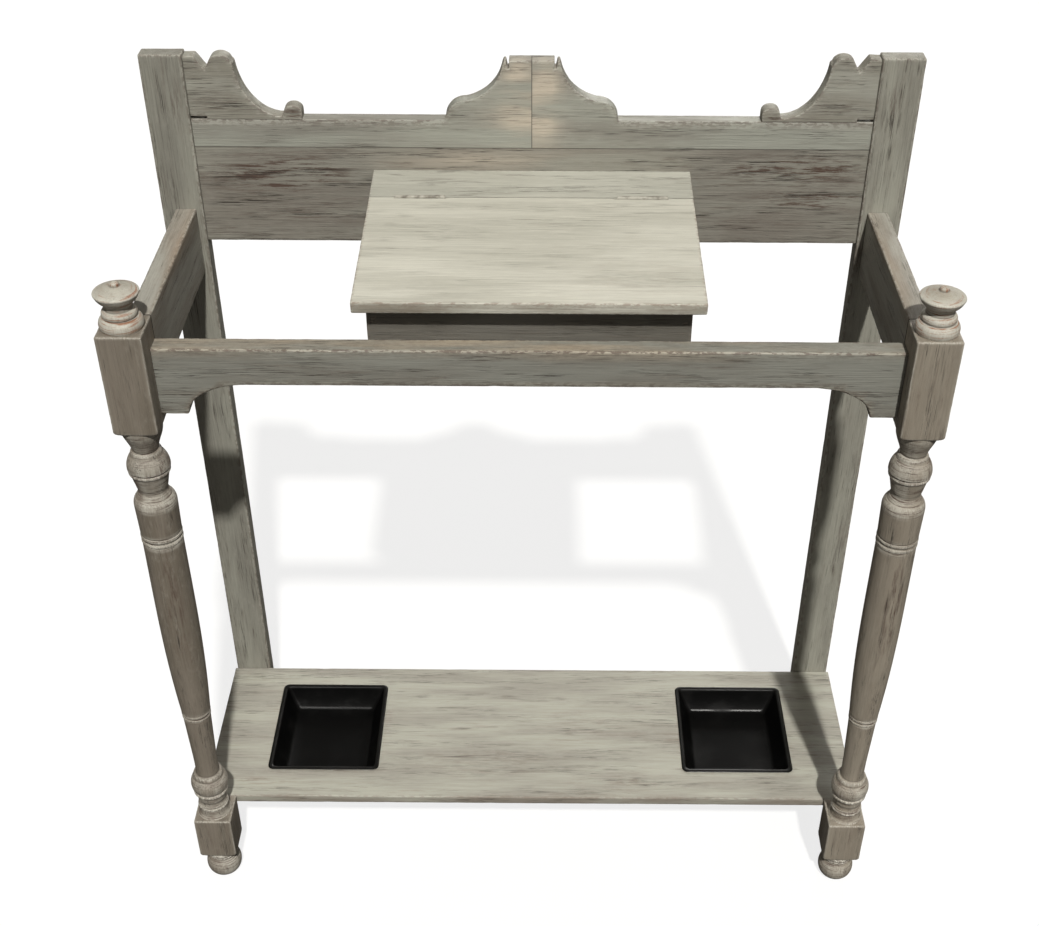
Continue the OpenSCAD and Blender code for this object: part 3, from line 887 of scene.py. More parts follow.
def settle(
    obj: bpy.types.Object, finish: bpy.types.Material, body: str, slot: str, *nodes: str
) -> bpy.types.Object:
    """Gives a piece its finish and ties it to the frame.

    Args:
        obj: The piece.
        finish: Its material.
        body: The body that it moves with.
        slot: A material slot name; not used.
        nodes: The CAD nodes that it stands for.

    Returns:
        The piece.
    """
    obj.data.materials.clear()
    obj.data.materials.append(finish)
    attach(obj, body)
    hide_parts(*nodes)
    LOG.info("%s: %d faces, stands for %s", obj.name, len(obj.data.polygons), ", ".join(nodes))
    return obj


# ---- the stand ----


@dataclass
class Stand:
    """Sizes that several pieces share.

    Attributes:
        height: Height of the posts.
        width: Width over the leg blocks.
        depth: Depth over the blocks and posts.
        block: Side of the leg blocks.
        post_t: Thickness of the posts.
        board_t: Thickness of the boards.
        rail_t: Thickness of the rails.
        rail_top: Height of the side rails' top.
        shelf_top: Height of the shelf's top.
        board_z: Lower edge of the back board.
        crest_z: Seam between the back board and the crest boards.
        strip_top: Top of the plain strip.
        post_in: Inner face of the posts, from the middle.
        post_out: Outer face of the posts.
    """

    height: float = 900.0
    width: float = 770.0
    depth: float = 278.0
    block: float = 42.0
    post_t: float = 19.0
    board_t: float = 16.0
    rail_t: float = 21.0
    rail_top: float = 740.5
    shelf_top: float = 100.5
    board_z: float = 704.0
    crest_z: float = 806.5
    strip_top: float = 835.0
    post_in: float = 336.0
    post_out: float = 378.0

    @property
    def back_y(self) -> float:
        """The plane of the posts' backs."""
        return self.depth / 2

    @property
    def post_y(self) -> float:
        """The plane of the posts' fronts."""
        return self.back_y - self.post_t

    @property
    def board_y(self) -> float:
        """The plane of the boards' fronts."""
        return self.back_y - self.board_t

    @property
    def leg_x(self) -> float:
        """The legs' centre line, from the middle."""
        return (self.width - self.block) / 2

    @property
    def leg_y(self) -> float:
        """The legs' centre line, from front to back."""
        return (self.block - self.depth) / 2

    @property
    def inner_x(self) -> float:
        """The blocks' inner faces."""
        return self.width / 2 - self.block

    @property
    def rail_y(self) -> float:
        """The plane of the blocks' and the front rail's backs."""
        return self.leg_y + self.block / 2


@dataclass
class BackFrame:
    """The posts, the boards between them, the crest and the scroll brackets.

    Attributes:
        stand: The shared sizes.
        crest_h: Height of the crest above its plain strip.
        strip_h: Height of that strip.
    """

    stand: Stand
    crest_h: float = 60.0
    strip_h: float = 28.5

    def _post(self, side: str) -> None:
        """Makes one post.

        Args:
            side: Which post.
        """
        s, k = self.stand, SIDES[side]
        x0, x1 = sorted((k * s.post_in, k * s.post_out))
        stained = (
            Patch(WearAndPaintedLight.RUB, (k * (s.post_in + 6), s.post_y, s.board_z - 20), (9, 12, 30), 0.7),
            Patch(WearAndPaintedLight.RUB, (k * (s.post_in + 14), s.post_y, 850), (5, 10, 30), 0.5),
            Patch(WearAndPaintedLight.RUB, (k * (s.post_out - 4), s.post_y, 300), (6, 10, 50), 0.35),
        )
        # painted shade: the left post takes the darker paint of the pair
        finish = ChalkPaintedOak(
            f"chalk-painted oak, {side} post", Grain.Z, *POST_PAINT_SHADED_LEFT[side], "#b0aea3",
            seed=2.0 + k, pores=0.62, rubbed=0.3,
        )
        post = Timber(
            f"post_{side}", Plane.XZ, s.post_y, s.back_y,
            outline=[(x0, 0), (x1, 0), (x1, s.height), (x0, s.height)],
            arris=1.5, pitch=12, knocks=0.4, patches=stained,
        ).build()
        carve(post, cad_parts["shelf_screws"])
        settle(post, finish.build(), "frame", "painted_wood", f"back_post_{side}")

    def _back_board(self) -> None:
        """Makes the lower back board."""
        s = self.stand
        worn = (
            Patch(WearAndPaintedLight.RUB, (-250, s.board_y, 778), (55, 12, 15), 1.7),
            Patch(WearAndPaintedLight.RUB, (-225, s.board_y, 735), (70, 12, 12), 0.35),
            Patch(WearAndPaintedLight.RUB, (262, s.board_y, 785), (62, 12, 11), 1.5),
            Patch(WearAndPaintedLight.RUB, (285, s.board_y, 752), (50, 12, 8), 1.5),
            Patch(WearAndPaintedLight.RUB, (235, s.board_y, 722), (60, 12, 8), 0.35),
            Patch(WearAndPaintedLight.TAN, (-40, s.board_y, 792), (90, 12, 12), 0.6),
        )
        finish = ChalkPaintedOak(
            "chalk-painted oak, back board", Grain.X, "#8d8b81", "#7b766d", "#a3a197",
            seed=5.3, pores=0.75, rubbed=0.42, edge_coat_and_highlight=0.3,
        )
        board = Timber(
            "back_board_lower", Plane.XZ, s.board_y, s.back_y,
            outline=[(-s.post_in, s.board_z), (s.post_in, s.board_z), (s.post_in, s.crest_z),
                     (-s.post_in, s.crest_z)],
            arris=0.8, pitch=9, knocks=0.3, wear_width=2.5, patches=worn,
            joints=((0, -s.post_in), (0, s.post_in), (2, s.crest_z)),
        ).build()
        settle(board, finish.build(), "frame", "painted_wood", "back_board")

    def _crest_outline(self, k: int) -> list[Point2]:
        """Gives half of the crest: strip, round shoulder, hollow sweep, ear, notch and tab.

        Args:
            k: -1 for the left half and 1 for the right.

        Returns:
            The outline.
        """
        s, h0, foot, r, ear, tab = self.stand, self.strip_h, 85.0, 20.0, 28.5, 22.0
        top = h0 + self.crest_h
        ear_z, rise = top - 5, self.crest_h - 5 - r
        sweep = foot - r - ear
        points = [(0.0, 0.0), (s.post_in, 0.0), (s.post_in, h0)]
        points += arc(foot - r, h0, r, r, 0, 90, 12)
        points += bezier(
            (ear + sweep - 1, h0 + r), (ear + sweep * 0.6, h0 + r + 3),
            (ear + sweep * 0.12, h0 + r + rise * 0.4), (ear, ear_z), 16,
        )
        points += [(ear - 1.5, ear_z + 4), (tab + 3, ear_z + 4), (tab + 1.5, top - 8), (tab, top - 8),
                   (tab, top), (0.0, top)]
        return [(k * x, s.crest_z + z) for x, z in points]

    def _crest(self, side: str) -> None:
        """Makes one half of the crest.

        Args:
            side: Which half.
        """
        s, k = self.stand, SIDES[side]
        stained = (
            Patch(WearAndPaintedLight.TAN, (k * 14, s.board_y, 862), (13, 12, 45), 0.9),
            Patch(WearAndPaintedLight.TAN, (-10, s.board_y, 840), (30, 12, 40), 0.8),
            Patch(WearAndPaintedLight.RUB, (k * 160, s.board_y, 835), (60, 12, 3), 0.35),
        )
        finish = ChalkPaintedOak(
            f"chalk-painted oak, {side} crest board", Grain.X, "#999a90", "#87857c", "#b2b1a7",
            seed=8.1 + k, pores=0.5, rubbed=0.22,
        )
        crest = Timber(
            f"crest_{side}", Plane.XZ, s.board_y, s.back_y, outline=self._crest_outline(k),
            arris=1.0, pitch=8, knocks=0.3, wear_width=3, patches=stained,
            joints=((0, 0.0), (0, k * s.post_in), (2, s.crest_z)),
        ).build()
        settle(crest, finish.build(), "frame", "painted_wood", f"crest_board_{side}")

    def _bracket(self, side: str) -> None:
        """Makes one scroll bracket: flat end, V notch, hump, hollow sweep and domed end.

        Args:
            side: Which bracket.
        """
        s, k, h, length, scroll = self.stand, SIDES[side], 63.0, 110.0, 9.0
        sweep_x = length - 2 * scroll - 1
        points = [(0.0, 2.5), (0.0, h - 0.5), (10.5, h), (20.0, h - 13.5)]
        points += arc(35, h - 7, 10.5, 8, 155, 10, 12)
        points += arc(sweep_x, h + 1, sweep_x - 47.0, h - 2, 188, 270, 22)
        points += arc(length - scroll, 6.5, scroll, 7.2, 180, 0, 16)
        points += [(length, 0.0), (16.0, 0.0), (16.0, 2.5)]
        outline = [(k * (s.post_in - x), s.strip_top + z) for x, z in points]
        finish = ChalkPaintedOak(
            f"chalk-painted oak, {side} scroll bracket", Grain.X, "#9b9a90", "#878479", "#b2b0a6",
            seed=11.4 + k, pores=0.7, rubbed=0.35,
        )
        bracket = Timber(
            f"bracket_{side}", Plane.XZ, s.board_y, s.back_y, outline=outline, arris=1.0,
            pitch=6, knocks=0.3, wear_width=3, joints=((0, k * s.post_in), (2, s.strip_top)),
            patches=(Patch(WearAndPaintedLight.RUB, (k * 300, s.board_y, 850), (30, 12, 10), 0.4),
                     Patch(WearAndPaintedLight.RUB, (k * 236, s.board_y, 840), (14, 12, 8), 0.8)),
        ).build()
        settle(bracket, finish.build(), "frame", "painted_wood", f"scroll_bracket_{side}")

    def build(self) -> None:
        """Makes all the back's pieces."""
        self._back_board()
        for side in SIDES:
            self._post(side)
            self._crest(side)
            self._bracket(side)


@dataclass
class Rails:
    """The two side rails and the arched front rail.

    Attributes:
        stand: The shared sizes.
        side_h: Height of the side rails.
        front_h: Height of the front rail at its feet.
        drop: How far the front rail's top lies below the side rails'.
        arch_h: How far its underside rises.
        foot_l: Length of each foot.
        curve_l: Length of each curve.
    """

    stand: Stand
    side_h: float = 72.0
    front_h: float = 70.0
    drop: float = 24.0
    arch_h: float = 32.0
    foot_l: float = 26.0
    curve_l: float = 56.0

    def _side(self, side: str) -> None:
        """Makes one side rail.

        Args:
            side: Which rail.
        """
        s, k = self.stand, SIDES[side]
        x0, x1 = sorted((k * s.inner_x, k * (s.inner_x + s.rail_t)))
        finish = ChalkPaintedOak(
            f"chalk-painted oak, {side} side rail", Grain.Y, "#9f9d94", "#8a857b", "#b9b6ab",
            seed=14.7 + k, pores=0.55, rubbed=0.3, tan="#9a7c60",
        )
        rail = Timber(
            f"side_rail_worn_{side}", Plane.YZ, x0, x1,
            outline=[(s.rail_y, s.rail_top - self.side_h), (s.post_y, s.rail_top - self.side_h),
                     (s.post_y, s.rail_top), (s.rail_y, s.rail_top)],
            arris=1.7, pitch=9, knocks=0.4, joints=((1, s.rail_y), (1, s.post_y)),
            patches=(Patch(WearAndPaintedLight.TAN, (k * s.inner_x, 20, s.rail_top), (6, 90, 5), 0.4),),
        ).build()
        settle(rail, finish.build(), "frame", "painted_wood", f"side_rail_{side}")

    def _front(self) -> None:
        """Makes the front rail: flat feet and quarter-ellipses up to the straight underside."""
        s = self.stand
        z0 = s.rail_top - self.drop - self.front_h
        top = s.rail_top - self.drop
        foot = s.inner_x - self.foot_l
        right = arc(foot - self.curve_l, z0, self.curve_l, self.arch_h, 90, 0, 18)
        left = [(-x, z) for x, z in reversed(right)]
        outline = [(-s.inner_x, top), (-s.inner_x, z0), *left, *right, (s.inner_x, z0), (s.inner_x, top)]
        finish = ChalkPaintedOak(
            "chalk-painted oak, front rail", Grain.X, "#85857d", "#76746c", "#aca697",
            seed=17.9, pores=0.72, rubbed=0.34, edge_coat_and_highlight=0.85, edge_bare=0.7, tan="#ad9d86",
        )
        rail = Timber(
            "front_rail_worn", Plane.XZ, s.rail_y - s.rail_t, s.rail_y, outline=outline,
            arris=1.8, pitch=9, knocks=0.45, wear_width=4.5,
            joints=((0, -s.inner_x), (0, s.inner_x)),
            patches=(Patch(WearAndPaintedLight.TAN, (0, s.rail_y - s.rail_t / 2, top), (400, 16, 4), 0.75),),
        ).build()
        settle(rail, finish.build(), "frame", "painted_wood", "front_rail")

    def build(self) -> None:
        """Makes the three rails."""
        self._front()
        for side in SIDES:
            self._side(side)


@dataclass
class FrontLeg:
    """A front leg with its two square blocks, and the finial on it.

    Attributes:
        stand: The shared sizes.
        side: Which side it stands on.
        ball: Radius of the ball and of the shaft's widest part.
        waist: Radius of the shaft's thinnest part.
        foot_h: Height of the bun foot.
        low_h: Height of the lower block.
        high_h: Height of the upper block.
        cap: Radius of the finial's cap.
        finial_h: Height of the finial.
        low_turn: Height of the turnings on the lower block.
        high_turn: Height of the turnings under the upper block.
        pair_at: Where the pair of small rings lies, as a share of the shaft's plain length.
    """

    stand: Stand
    side: str
    ball: float = 20.8
    waist: float = 12.6
    foot_h: float = 42.0
    low_h: float = 59.5
    high_h: float = 105.0
    cap: float = 20.6
    finial_h: float = 44.5
    low_turn: float = 66.0
    high_turn: float = 137.0
    pair_at: float = 0.28

    @property
    def _axis(self) -> Point2:
        """Where the leg's centre line stands."""
        return (SIDES[self.side] * self.stand.leg_x, self.stand.leg_y)

    def _foot(self) -> list[Point2]:
        """Gives the bun foot's profile.

        Returns:
            Radius and height pairs, from the floor up.
        """
        z = self.foot_h
        return [
            (0, 0), (11, 0), *arc(11, z * 0.34, 9.2, z * 0.34, -70, 60), (14.8, z * 0.68),
            (16.6, z * 0.72), *arc(13, z * 0.82, 4.4, z * 0.09, -60, 80), (15.6, z),
        ]

    def _shaft(self) -> list[Point2]:
        """Gives the turned profile between the two blocks.

        Returns:
            Radius and height pairs, from the lower block up.
        """
        z, t, w = self.foot_h + self.low_h, self.ball, self.waist
        top = self.stand.rail_top - self.high_h
        low = [
            (19, z), *arc(20.5, z + 8, 4.4, 7, -115, -185), *bead(15.6, 1.7, z + 12, z + 16),
            *arc(18.6, z + 22, 3.6, 5, -125, -230), (16.4, z + 31),
            *bead(17, t - 18.4, z + 33.5, z + 39), (t - 2.6, z + 39.6),
            *arc(14, z + 48, t - 14, 12, -45, 60), (w + 4, z + 59.2),
            *arc(w + 1, z + 59.6, 3.2, 6, 0, 75),
        ]
        z0, z1 = z + self.low_turn, top - self.high_turn
        length = z1 - z0
        pair, r = z0 + length * self.pair_at, t - 5.4
        middle = [
            *bezier((w + 0.4, z0), (w, z0 + 4), (w, z0 + 12), (w + 0.3, z0 + 26)),
            (r - 0.5, pair - 6), *bead(r - 0.8, 0.9, pair - 5, pair - 1.6), (r - 1, pair - 0.8),
            *bead(r - 0.6, 0.9, pair, pair + 3.4),
            *bezier((r + 0.2, pair + 4), (r + 3.4, pair + length * 0.15),
                    (t - 0.3, pair + length * 0.28), (t - 0.5, pair + length * 0.5)),
        ]
        high = [
            (t - 0.8, top - 136), *bead(t - 1.1, 0.9, top - 135, top - 131), (t - 1.5, top - 130),
            *bead(t - 1.1, 0.9, top - 129, top - 125), (t - 0.6, top - 124),
            *arc(t - 5, top - 90, 5.2, 10, 0, 75), (17, top - 79.5), (15.6, top - 77.5),
            *arc(18.6, top - 73, 4.4, 5, -130, -215), (t - 2.6, top - 55.5),
            *bead(t - 2.2, 1.6, top - 53.5, top - 49), *arc(0, top - 46.5, t, 22, -2, 38),
            (15.6, top - 32.4), (15.4, top - 31.2), *arc(11.8, top - 31, 3.4, 4.6, 0, 80),
            *bezier((13, top - 24.5), (15.5, top - 14), (19.8, top - 10), (20.2, top)),
        ]
        return low + middle + high

    def _bands(self) -> tuple[Point2, ...]:
        """Gives the bands of the turning that are beads, rings and hollows.

        Returns:
            Their lowest and highest heights.
        """
        low, top = self.foot_h + self.low_h, self.stand.rail_top - self.high_h
        pair = low + self.low_turn + (top - self.high_turn - low - self.low_turn) * self.pair_at
        return ((low, low + 60), (pair - 8, pair + 6), (top - 139, top - 122), (top - 92, top))

    def _block(self, z0: float, z1: float, name: str) -> bpy.types.Object:
        """Makes a square block whose lower corners the lathe has rounded off.

        Args:
            z0: Its underside.
            z1: Its top.
            name: Its name.

        Returns:
            The block.
        """
        (x, y), half, round_h = self._axis, self.stand.block / 2, 9.0
        block = Timber(
            name, Plane.XY, z0, z1,
            outline=[(x - half, y - half), (x + half, y - half), (x + half, y + half), (x - half, y + half)],
            arris=1.6, pitch=4, knocks=0.3, wear_width=2.2,
        ).build()
        for vert in block.data.vertices:
            p = vert.co / MM
            rise = min(max((p.z - z0) / round_h, 0), 1)
            reach = half + 2 + half * 0.42 * math.sqrt(max(0.0, 1 - (1 - rise) ** 2))
            away = math.hypot(p.x - x, p.y - y)
            if rise < 1 and away > reach:
                vert.co.x = (x + (p.x - x) * reach / away) * MM
                vert.co.y = (y + (p.y - y) * reach / away) * MM
        return block

    def build(self) -> None:
        """Makes the leg and its finial."""
        s, k = self.stand, SIDES[self.side]
        x, y = self._axis
        top = s.rail_top - self.high_h
        worn = (
            Patch(WearAndPaintedLight.RUB, (x + 19, y - 7, top - 44), (6, 10, 8), 2.4),
            Patch(WearAndPaintedLight.RUB, (x - 10, y - 18, top - 50), (9, 6, 2.5), 1.2),
            Patch(WearAndPaintedLight.RUB, (x + 4, y - 20, 430), (8, 8, 60), 0.7),
            Patch(WearAndPaintedLight.RUB, (x + 6, y - 18, 18), (7, 8, 4), 0.9),
            Patch(WearAndPaintedLight.RUB, (x - 12, y - 16, 143), (8, 8, 5), 0.5),
        )
        # painted shade: the left leg takes the darker paint of the pair
        finish = ChalkPaintedOak(
            f"chalk-painted oak, {self.side} leg", Grain.Z, *LEG_PAINT_SHADED_LEFT[self.side], "#c8c5ba",
            seed=21.0 + k * 1.5, pores=0.62, rubbed=0.42, edge_coat_and_highlight=0.95, edge_bare=0.35,
        )
        parts = [
            Turning(f"shaft_{self.side}", (x, y), self._shaft(), worn, self._bands()).build(),
            Turning(f"foot_{self.side}", (x, y), self._foot(), worn, ((0, self.foot_h),)).build(),
            self._block(self.foot_h, self.foot_h + self.low_h, "low_block"),
            self._block(top, s.rail_top, "high_block"),
        ]
        leg = join(f"turned_leg_{self.side}", parts)
        settle(leg, finish.build(), "frame", "painted_wood", f"front_leg_{self.side}")
        self._finial()

    def _finial(self) -> None:
        """Makes the finial: mushroom cap with a worn nub, neck and two-step base."""
        (x, y), h, c, z = self._axis, self.finial_h, self.cap, self.stand.rail_top
        profile = [
            *arc(14.4, h * 0.1, 5.8, h * 0.165, -38, 72), (15.4, h * 0.27), (15.3, h * 0.275),
            *arc(12.4, h * 0.33, 3.8, h * 0.1, -30, 80), (12.6, h * 0.44), (12.5, h * 0.5),
            *bezier((13.2, h * 0.53), (15, h * 0.6), (c - 3, h * 0.62), (c - 1, h * 0.72)),
            *arc(c - 1.4, h * 0.775, 1.4, h * 0.035, -40, 60),
            *bezier((c - 1.6, h * 0.815), (14, h * 0.88), (8, h * 0.91), (4.8, h * 0.92)),
            (4.2, h * 0.93), *arc(1.6, h * 0.95, 2.6, h * 0.05, 5, 90), (0, h),
        ]
        finish = ChalkPaintedOak(
            f"chalk-painted oak, {self.side} finial", Grain.Z, "#afaca1", "#9c9689", "#c6c4ba",
            seed=27.0 + SIDES[self.side], pores=0.2, rubbed=0.2, edge_coat_and_highlight=0.5, edge_bare=0.0,
            oak="#8a5f45",
        )
        finial = Turning(
            f"turned_finial_{self.side}", (x, y), [(r, z + dz) for r, dz in profile],
            (Patch(WearAndPaintedLight.RUB, (x + 1, y - 1, z + h), (4.2, 4.2, 3), 2.6),
             Patch(WearAndPaintedLight.RUB, (x - 6, y + 2, z + h * 0.9), (4, 4, 3), 0.35)),
            ((z, z + h * 0.86),),
        ).build()
        settle(finial, finish.build(), "frame", "pale_painted_wood", f"finial_{self.side}")


@dataclass
class ShelfAndTrays:
    """The bottom shelf and its two lift-out drip trays.

    Attributes:
        stand: The shared sizes.
        thick: Thickness of the shelf.
        end_x: Where its ends lie, from the middle.
        tray_w: Width of a tray over its rim.
        tray_l: Length of a tray, from front to back.
        tray_depth: Depth of a tray under its rim.
        tray_x: A tray's middle, from the stand's.
        tray_back: Gap from the rim to the shelf's back edge.
        rim: Width of the rim's bearing on the shelf.
        taper: How far the sides lean in.
        sheet: Thickness of the iron.
        gap: Play round a tray in its opening.
    """

    stand: Stand
    thick: float = 11.0
    end_x: float = 380.5
    tray_w: float = 132.0
    tray_l: float = 145.0
    tray_depth: float = 26.0
    tray_x: float = 247.0
    tray_back: float = 31.0
    rim: float = 4.0
    taper: float = 12.0
    sheet: float = 1.2
    gap: float = 1.0

    @property
    def _tray_y(self) -> float:
        """The trays' middle, from front to back."""
        return self.stand.post_y - self.tray_back - self.tray_l / 2

    def _shelf(self) -> None:
        """Makes the shelf with its two cut-outs."""
        s = self.stand
        half_w = self.tray_w / 2 - self.rim + self.gap
        half_l = self.tray_l / 2 - self.rim + self.gap
        xs = [-self.end_x, -self.tray_x - half_w, -self.tray_x + half_w, self.tray_x - half_w,
              self.tray_x + half_w, self.end_x]
        ys = [s.rail_y, self._tray_y - half_l, self._tray_y + half_l, s.post_y]
        cells = [
            (xs[i], xs[i + 1], ys[j], ys[j + 1])
            for i in range(5) for j in range(3) if not (j == 1 and i in (1, 3))
        ]
        # the shelf's front face is painted darker along its length
        front_face_darkened = Patch(WearAndPaintedLight.TAN, (0, s.rail_y - 1, s.shelf_top - self.thick / 2), (900, 2.2, 14), 1.7)
        scratched = (front_face_darkened, *(
            Patch(WearAndPaintedLight.RUB, (k * x, y, s.shelf_top), (rx, ry, 4), w)
            for k, x, y, rx, ry, w in (
                (-1, 305, 50, 22, 5, 0.5), (-1, 180, 30, 10, 20, 0.4), (1, 180, 0, 16, 6, 0.5),
                (1, 318, -10, 12, 4, 0.7), (-1, 320, -75, 40, 5, 0.45), (1, 60, -88, 60, 5, 0.4),
                (-1, 60, -40, 70, 22, 0.3), (1, 70, 20, 60, 26, 0.25), (1, 120, -70, 60, 14, 0.3),
            )
        ))
        finish = ChalkPaintedOak(
            "chalk-painted oak, shelf", Grain.X, "#a6a599", "#969389", "#b8b7ae",
            seed=31.2, pores=0.62, rubbed=0.26, edge_coat_and_highlight=0.2, edge_bare=0.25, oak="#6f5b50", tan="#857e73",
        )
        shelf = Timber(
            "shelf_board", Plane.XY, s.shelf_top - self.thick, s.shelf_top, cells=cells,
            arris=1.3, pitch=10, knocks=0.4, patches=scratched,
        ).build()
        settle(shelf, finish.build(), "frame", "pale_painted_wood", "bottom_shelf")

    def _tray(self, side: str, finish: bpy.types.Material) -> None:
        """Makes one tray: rolled rim, tapered sides, rounded floor edge, inside and outside.

        Args:
            side: Which tray.
            finish: Its material.
        """
        z, t, r = self.stand.shelf_top, self.sheet, self.rim
        low = z - self.tray_depth
        deep = self.taper
        rings = [
            (r + 0.3, z - 0.2, 5.0), (0.9, z, 6.2), (0.1, z + t * 0.45, 7), (0.6, z + t * 0.95, 6.6),
            (2.0, z + t, 6), (r + 0.2, z + t, 5), (r + t, z + t * 0.3, 4.5), (r + t + 0.8, z - 2, 4.5),
            (r + t + deep * 0.5, z - self.tray_depth * 0.5, 4.8), (r + t + deep - 1.2, low + t + 3.2, 5),
            (r + t + deep + 0.6, low + t + 0.9, 5), (r + t + deep + 3, low + t, 5),
            (r + t + deep + 16, low + t + 0.15, 4), (r + t + deep + 40, low + t + 0.25, 3),
        ]
        outside = [
            (r + deep + 14, low, 5), (r + deep + 2, low, 5), (r + deep, low + 0.8, 5),
            (r + deep - 0.6, low + 2.4, 5), (r + deep * 0.5, z - self.tray_depth * 0.5, 5),
            (r + 0.3, z - 0.2, 5.0),
        ]
        bm = bmesh.new()
        centre = (SIDES[side] * self.tray_x, self._tray_y)

        def loft(profile: list[tuple[float, float, float]]) -> None:
            """Lofts rounded rectangles and closes the floor of the tray.

            Args:
                profile: Inset, height and corner radius of each rectangle.
            """
            made = []
            for inset, height, corner in profile:
                ring = []
                half_w, half_l = self.tray_w / 2 - inset, self.tray_l / 2 - inset
                for sx, sy, a0 in ((1, 1, 0), (-1, 1, 90), (-1, -1, 180), (1, -1, 270)):
                    for px, py in arc(sx * (half_w - corner), sy * (half_l - corner), corner, corner, a0,
                                      a0 + 90, 8):
                        ring.append(bm.verts.new((centre[0] + px, centre[1] + py, height)))
                made.append(ring)
            for a, b in zip(made, made[1:]):
                for i in range(len(a)):
                    j = (i + 1) % len(a)
                    bm.faces.new([a[i], a[j], b[j], b[i]])
            bm.faces.new(made[0] if profile is outside else made[-1])

        loft(rings)
        loft(outside)
        bmesh.ops.remove_doubles(bm, verts=bm.verts[:], dist=0.01)
        height = np.array([v.co.z for v in bm.verts])
        obj = object_from(f"tray_{side}", bm, 48)
        store(obj.data, {WearAndPaintedLight.ARRIS: np.clip((height - z) / t, 0, 1)})
        settle(obj, finish, f"tray_{side}", "tray_iron", f"drip_tray_{side}")

    def build(self) -> None:
        """Makes the shelf and the trays."""
        self._shelf()
        iron = JapannedIron().build()
        for side in SIDES:
            self._tray(side, iron)


